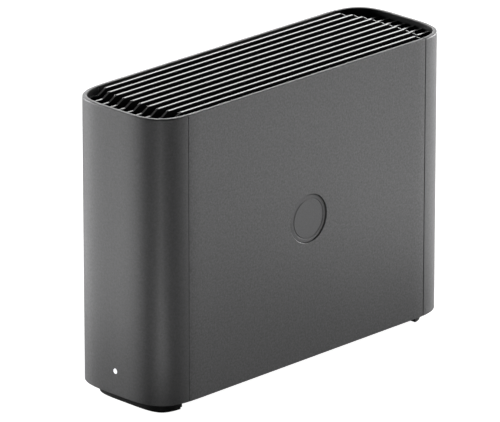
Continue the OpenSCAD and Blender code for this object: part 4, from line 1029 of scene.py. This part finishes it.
class FIREWALL_OT_feet(bpy.types.Operator):
    """Makes the two low feet with their counterbores and the rubber pads under them"""

    bl_idname = "firewall.feet"
    bl_label = "Feet"
    bl_options = {"REGISTER", "UNDO"}

    def execute(self, context):
        case, detail = context.scene.firewall_case, context.scene.firewall_details
        for end, name in ((-1, "front_foot"), (1, "rear_foot")):
            low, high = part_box(name)
            pad_low, pad_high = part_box(name + "_pad")
            edge = -high.y if end < 0 else low.y
            foot = mesh_object(name + "_block", foot_block(case, detail.foot_inset, end, edge, (low.z, high.z)))
            middle, head, shaft = middle_of(name)[1], detail.screw_head, detail.screw_hole
            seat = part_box("case_screws")[0].z + detail.head_height
            bores = [
                turned([(head, -MM), (head, seat), (shaft, seat), (shaft, high.z + MM)], "Z", (x, middle, 0), 32)
                for x in (-detail.screw_side, detail.screw_side)
            ]
            combine(foot, "DIFFERENCE", *bores)
            rounded_edges(foot, detail.foot_round)
            settle(foot, name)
            inset = detail.foot_inset + detail.pad_inset
            pad = mesh_object(name + "_rubber", foot_block(
                case, inset, end, edge + detail.pad_inset, (pad_low.z, pad_high.z)
            ))
            rounded_edges(pad, detail.foot_round * 0.6)
            settle(pad, name + "_pad")
        return {"FINISHED"}


class FIREWALL_OT_status_light(bpy.types.Operator):
    """Makes the status light's clear pipe with its slightly domed lens"""

    bl_idname = "firewall.status_light"
    bl_label = "Status Light"
    bl_options = {"REGISTER", "UNDO"}

    def execute(self, context):
        case = context.scene.firewall_case
        low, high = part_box("light_pipe")
        radius, flange = context.scene.firewall_details.lens, (high.x - low.x) / 2
        lens = [(0.02 * MM, 0.0), (0.5 * MM, 0.02 * MM), (0.9 * MM, 0.07 * MM), (radius, 0.2 * MM)]
        body = [(radius, case.wall), (flange, case.wall), (flange, case.wall + MM), (radius, case.wall + MM),
                (radius, high.y - low.y)]
        pipe = mesh_object("status_lens", turned(lens + body, "Y", (0, low.y, middle_of("light_pipe")[2]), 40))
        settle(pipe, "light_pipe")
        return {"FINISHED"}


class FIREWALL_OT_leads(bpy.types.Operator):
    """Makes the three round leads inside the case, from the fan, the light board and the button board"""

    bl_idname = "firewall.leads"
    bl_label = "Leads"
    bl_options = {"REGISTER", "UNDO"}

    def execute(self, context):
        radius = context.scene.firewall_details.lead
        leads = mesh_object("inner_leads", together(*[tube(route, radius) for route in LEAD_ROUTES.values()]))
        settle(leads, "board_leads")
        return {"FINISHED"}


class FIREWALL_OT_edges(bpy.types.Operator):
    """Rounds the edges of the carried-over pieces that show at the rear, below and between the fins"""

    bl_idname = "firewall.edges"
    bl_label = "Edges"
    bl_options = {"REGISTER", "UNDO"}

    def execute(self, context):
        nearly_together = 0.001 * MM
        for width, names in EDGES.items():
            for name in names:
                node = frame["nodes"][name]
                weld = node.modifiers.new("weld", "WELD")
                weld.merge_threshold = nearly_together
                rounded_edges(node, width * MM)
        return {"FINISHED"}


class FIREWALL_OT_stage(bpy.types.Operator):
    """Makes the pale floor, the soft lights and the camera at the photograph's angle"""

    bl_idname = "firewall.stage"
    bl_label = "Stage"
    bl_options = {"REGISTER", "UNDO"}

    def execute(self, context):
        scene, studio = context.scene, context.scene.firewall_studio
        self.floor(scene.firewall_finishes, studio)
        self.camera(scene, studio)
        middle, just_above = Vector((0, 0, studio.aim_height)), 2 * MM
        for name, (azimuth, elevation, width, height, radiance) in LAMPS.items():
            turn, rise = math.radians(azimuth), math.radians(elevation)
            way = Vector((math.sin(turn) * math.cos(rise), -math.cos(turn) * math.cos(rise), math.sin(rise)))
            place = middle + way * studio.lamp_reach
            self.light(name, place, way.to_track_quat("Z", "Y"), (width, height), radiance * studio.lamp_level)
        for name, (azimuth, x, y, width, reach, radiance) in PATCHES.items():
            upwards = Matrix.Rotation(math.radians(azimuth), 4, "Z") @ Matrix.Rotation(math.pi, 4, "X")
            place = Vector((x, y, just_above))
            self.light(name, place, upwards.to_quaternion(), (width, reach), radiance * studio.lamp_level)
        world = bpy.data.worlds.new("studio")
        world.use_nodes = True
        world.node_tree.nodes["Background"].inputs["Color"].default_value = (1, 1, 1, 1)
        world.node_tree.nodes["Background"].inputs["Strength"].default_value = studio.sky
        scene.world = world
        scene.view_settings.view_transform = "Standard"
        return {"FINISHED"}

    def floor(self, finish, studio):
        """A level square that looks pure white to the camera and is a plain pale surface to the object."""
        reach = studio.floor_reach
        points = np.array([[-1, -1, 0], [1, -1, 0], [1, 1, 0], [-1, 1, 0]]) * reach
        mesh = bpy.data.meshes.new("floor")
        mesh.from_pydata(points.tolist(), [], [(0, 1, 2, 3)])
        floor = bpy.data.objects.new("floor", mesh)
        bpy.context.scene.collection.objects.link(floor)
        material, shader = plain_material("floor", finish.floor, 0.7)
        shader.inputs["Emission Color"].default_value = (1, 1, 1, 1)
        path = material.node_tree.nodes.new("ShaderNodeLightPath")
        material.node_tree.links.new(path.outputs["Is Camera Ray"], shader.inputs["Emission Strength"])
        mesh.materials.append(material)

    def camera(self, scene, studio):
        """The camera stands back along its azimuth and elevation and is moved across its own view."""
        turn, rise = studio.azimuth, studio.elevation
        back = Vector((math.sin(turn) * math.cos(rise), -math.cos(turn) * math.cos(rise), math.sin(rise)))
        right = Vector((math.cos(turn), math.sin(turn), 0))
        up = Vector((-math.sin(turn) * math.sin(rise), math.cos(turn) * math.sin(rise), math.cos(rise)))
        data = bpy.data.cameras.new("camera")
        data.sensor_fit, data.sensor_width, data.lens = "HORIZONTAL", 36.0, studio.lens
        data.clip_start, data.clip_end = 0.1, 100.0
        camera = bpy.data.objects.new("camera", data)
        camera.location = Vector((0, 0, studio.aim_height)) + back * studio.distance
        camera.location += right * studio.shift_right + up * studio.shift_up
        camera.rotation_mode = "QUATERNION"
        camera.rotation_quaternion = (-back).to_track_quat("-Z", "Y")
        scene.collection.objects.link(camera)
        scene.camera = camera

    def light(self, name, place, turn, size, radiance):
        """A rectangular lamp whose power is its radiance times pi times its area."""
        data = bpy.data.lights.new(name, "AREA")
        data.shape, data.size, data.size_y = "RECTANGLE", size[0], size[1]
        data.energy = radiance * math.pi * size[0] * size[1]
        lamp = bpy.data.objects.new(name, data)
        lamp.location = place
        lamp.rotation_mode = "QUATERNION"
        lamp.rotation_quaternion = turn
        lamp.visible_camera = False
        bpy.context.scene.collection.objects.link(lamp)


class FIREWALL_PT_panel(bpy.types.Panel):
    """Lists the steps that dress the box"""

    bl_idname = "FIREWALL_PT_panel"
    bl_label = "Firewall Box"
    bl_space_type = "VIEW_3D"
    bl_region_type = "UI"
    bl_category = "Firewall Box"

    def draw(self, context):
        for operator in OPERATORS:
            self.layout.operator(operator.bl_idname)


OPERATORS = (
    FIREWALL_OT_finishes,
    FIREWALL_OT_front_cover,
    FIREWALL_OT_rear_cover,
    FIREWALL_OT_side_panels,
    FIREWALL_OT_badge,
    FIREWALL_OT_grille,
    FIREWALL_OT_feet,
    FIREWALL_OT_status_light,
    FIREWALL_OT_leads,
    FIREWALL_OT_edges,
    FIREWALL_OT_stage,
)
SETTINGS = {
    "firewall_case": CaseSizes,
    "firewall_grille": GrilleSizes,
    "firewall_details": DetailSizes,
    "firewall_finishes": Finishes,
    "firewall_studio": StudioSettings,
}


def register():
    for made in (*SETTINGS.values(), *OPERATORS, FIREWALL_PT_panel):
        bpy.utils.register_class(made)
    for name, group in SETTINGS.items():
        setattr(bpy.types.Scene, name, bpy.props.PointerProperty(type=group))


def unregister():
    for name in SETTINGS:
        delattr(bpy.types.Scene, name)
    for made in (FIREWALL_PT_panel, *reversed(OPERATORS), *SETTINGS.values()):
        bpy.utils.unregister_class(made)


def main():
    register()
    bpy.ops.firewall.finishes()
    bpy.ops.firewall.front_cover()
    bpy.ops.firewall.rear_cover()
    bpy.ops.firewall.side_panels()
    bpy.ops.firewall.badge()
    bpy.ops.firewall.grille()
    bpy.ops.firewall.feet()
    bpy.ops.firewall.status_light()
    bpy.ops.firewall.leads()
    bpy.ops.firewall.edges()
    bpy.ops.firewall.stage()


if __name__ == "__main__":
    main()
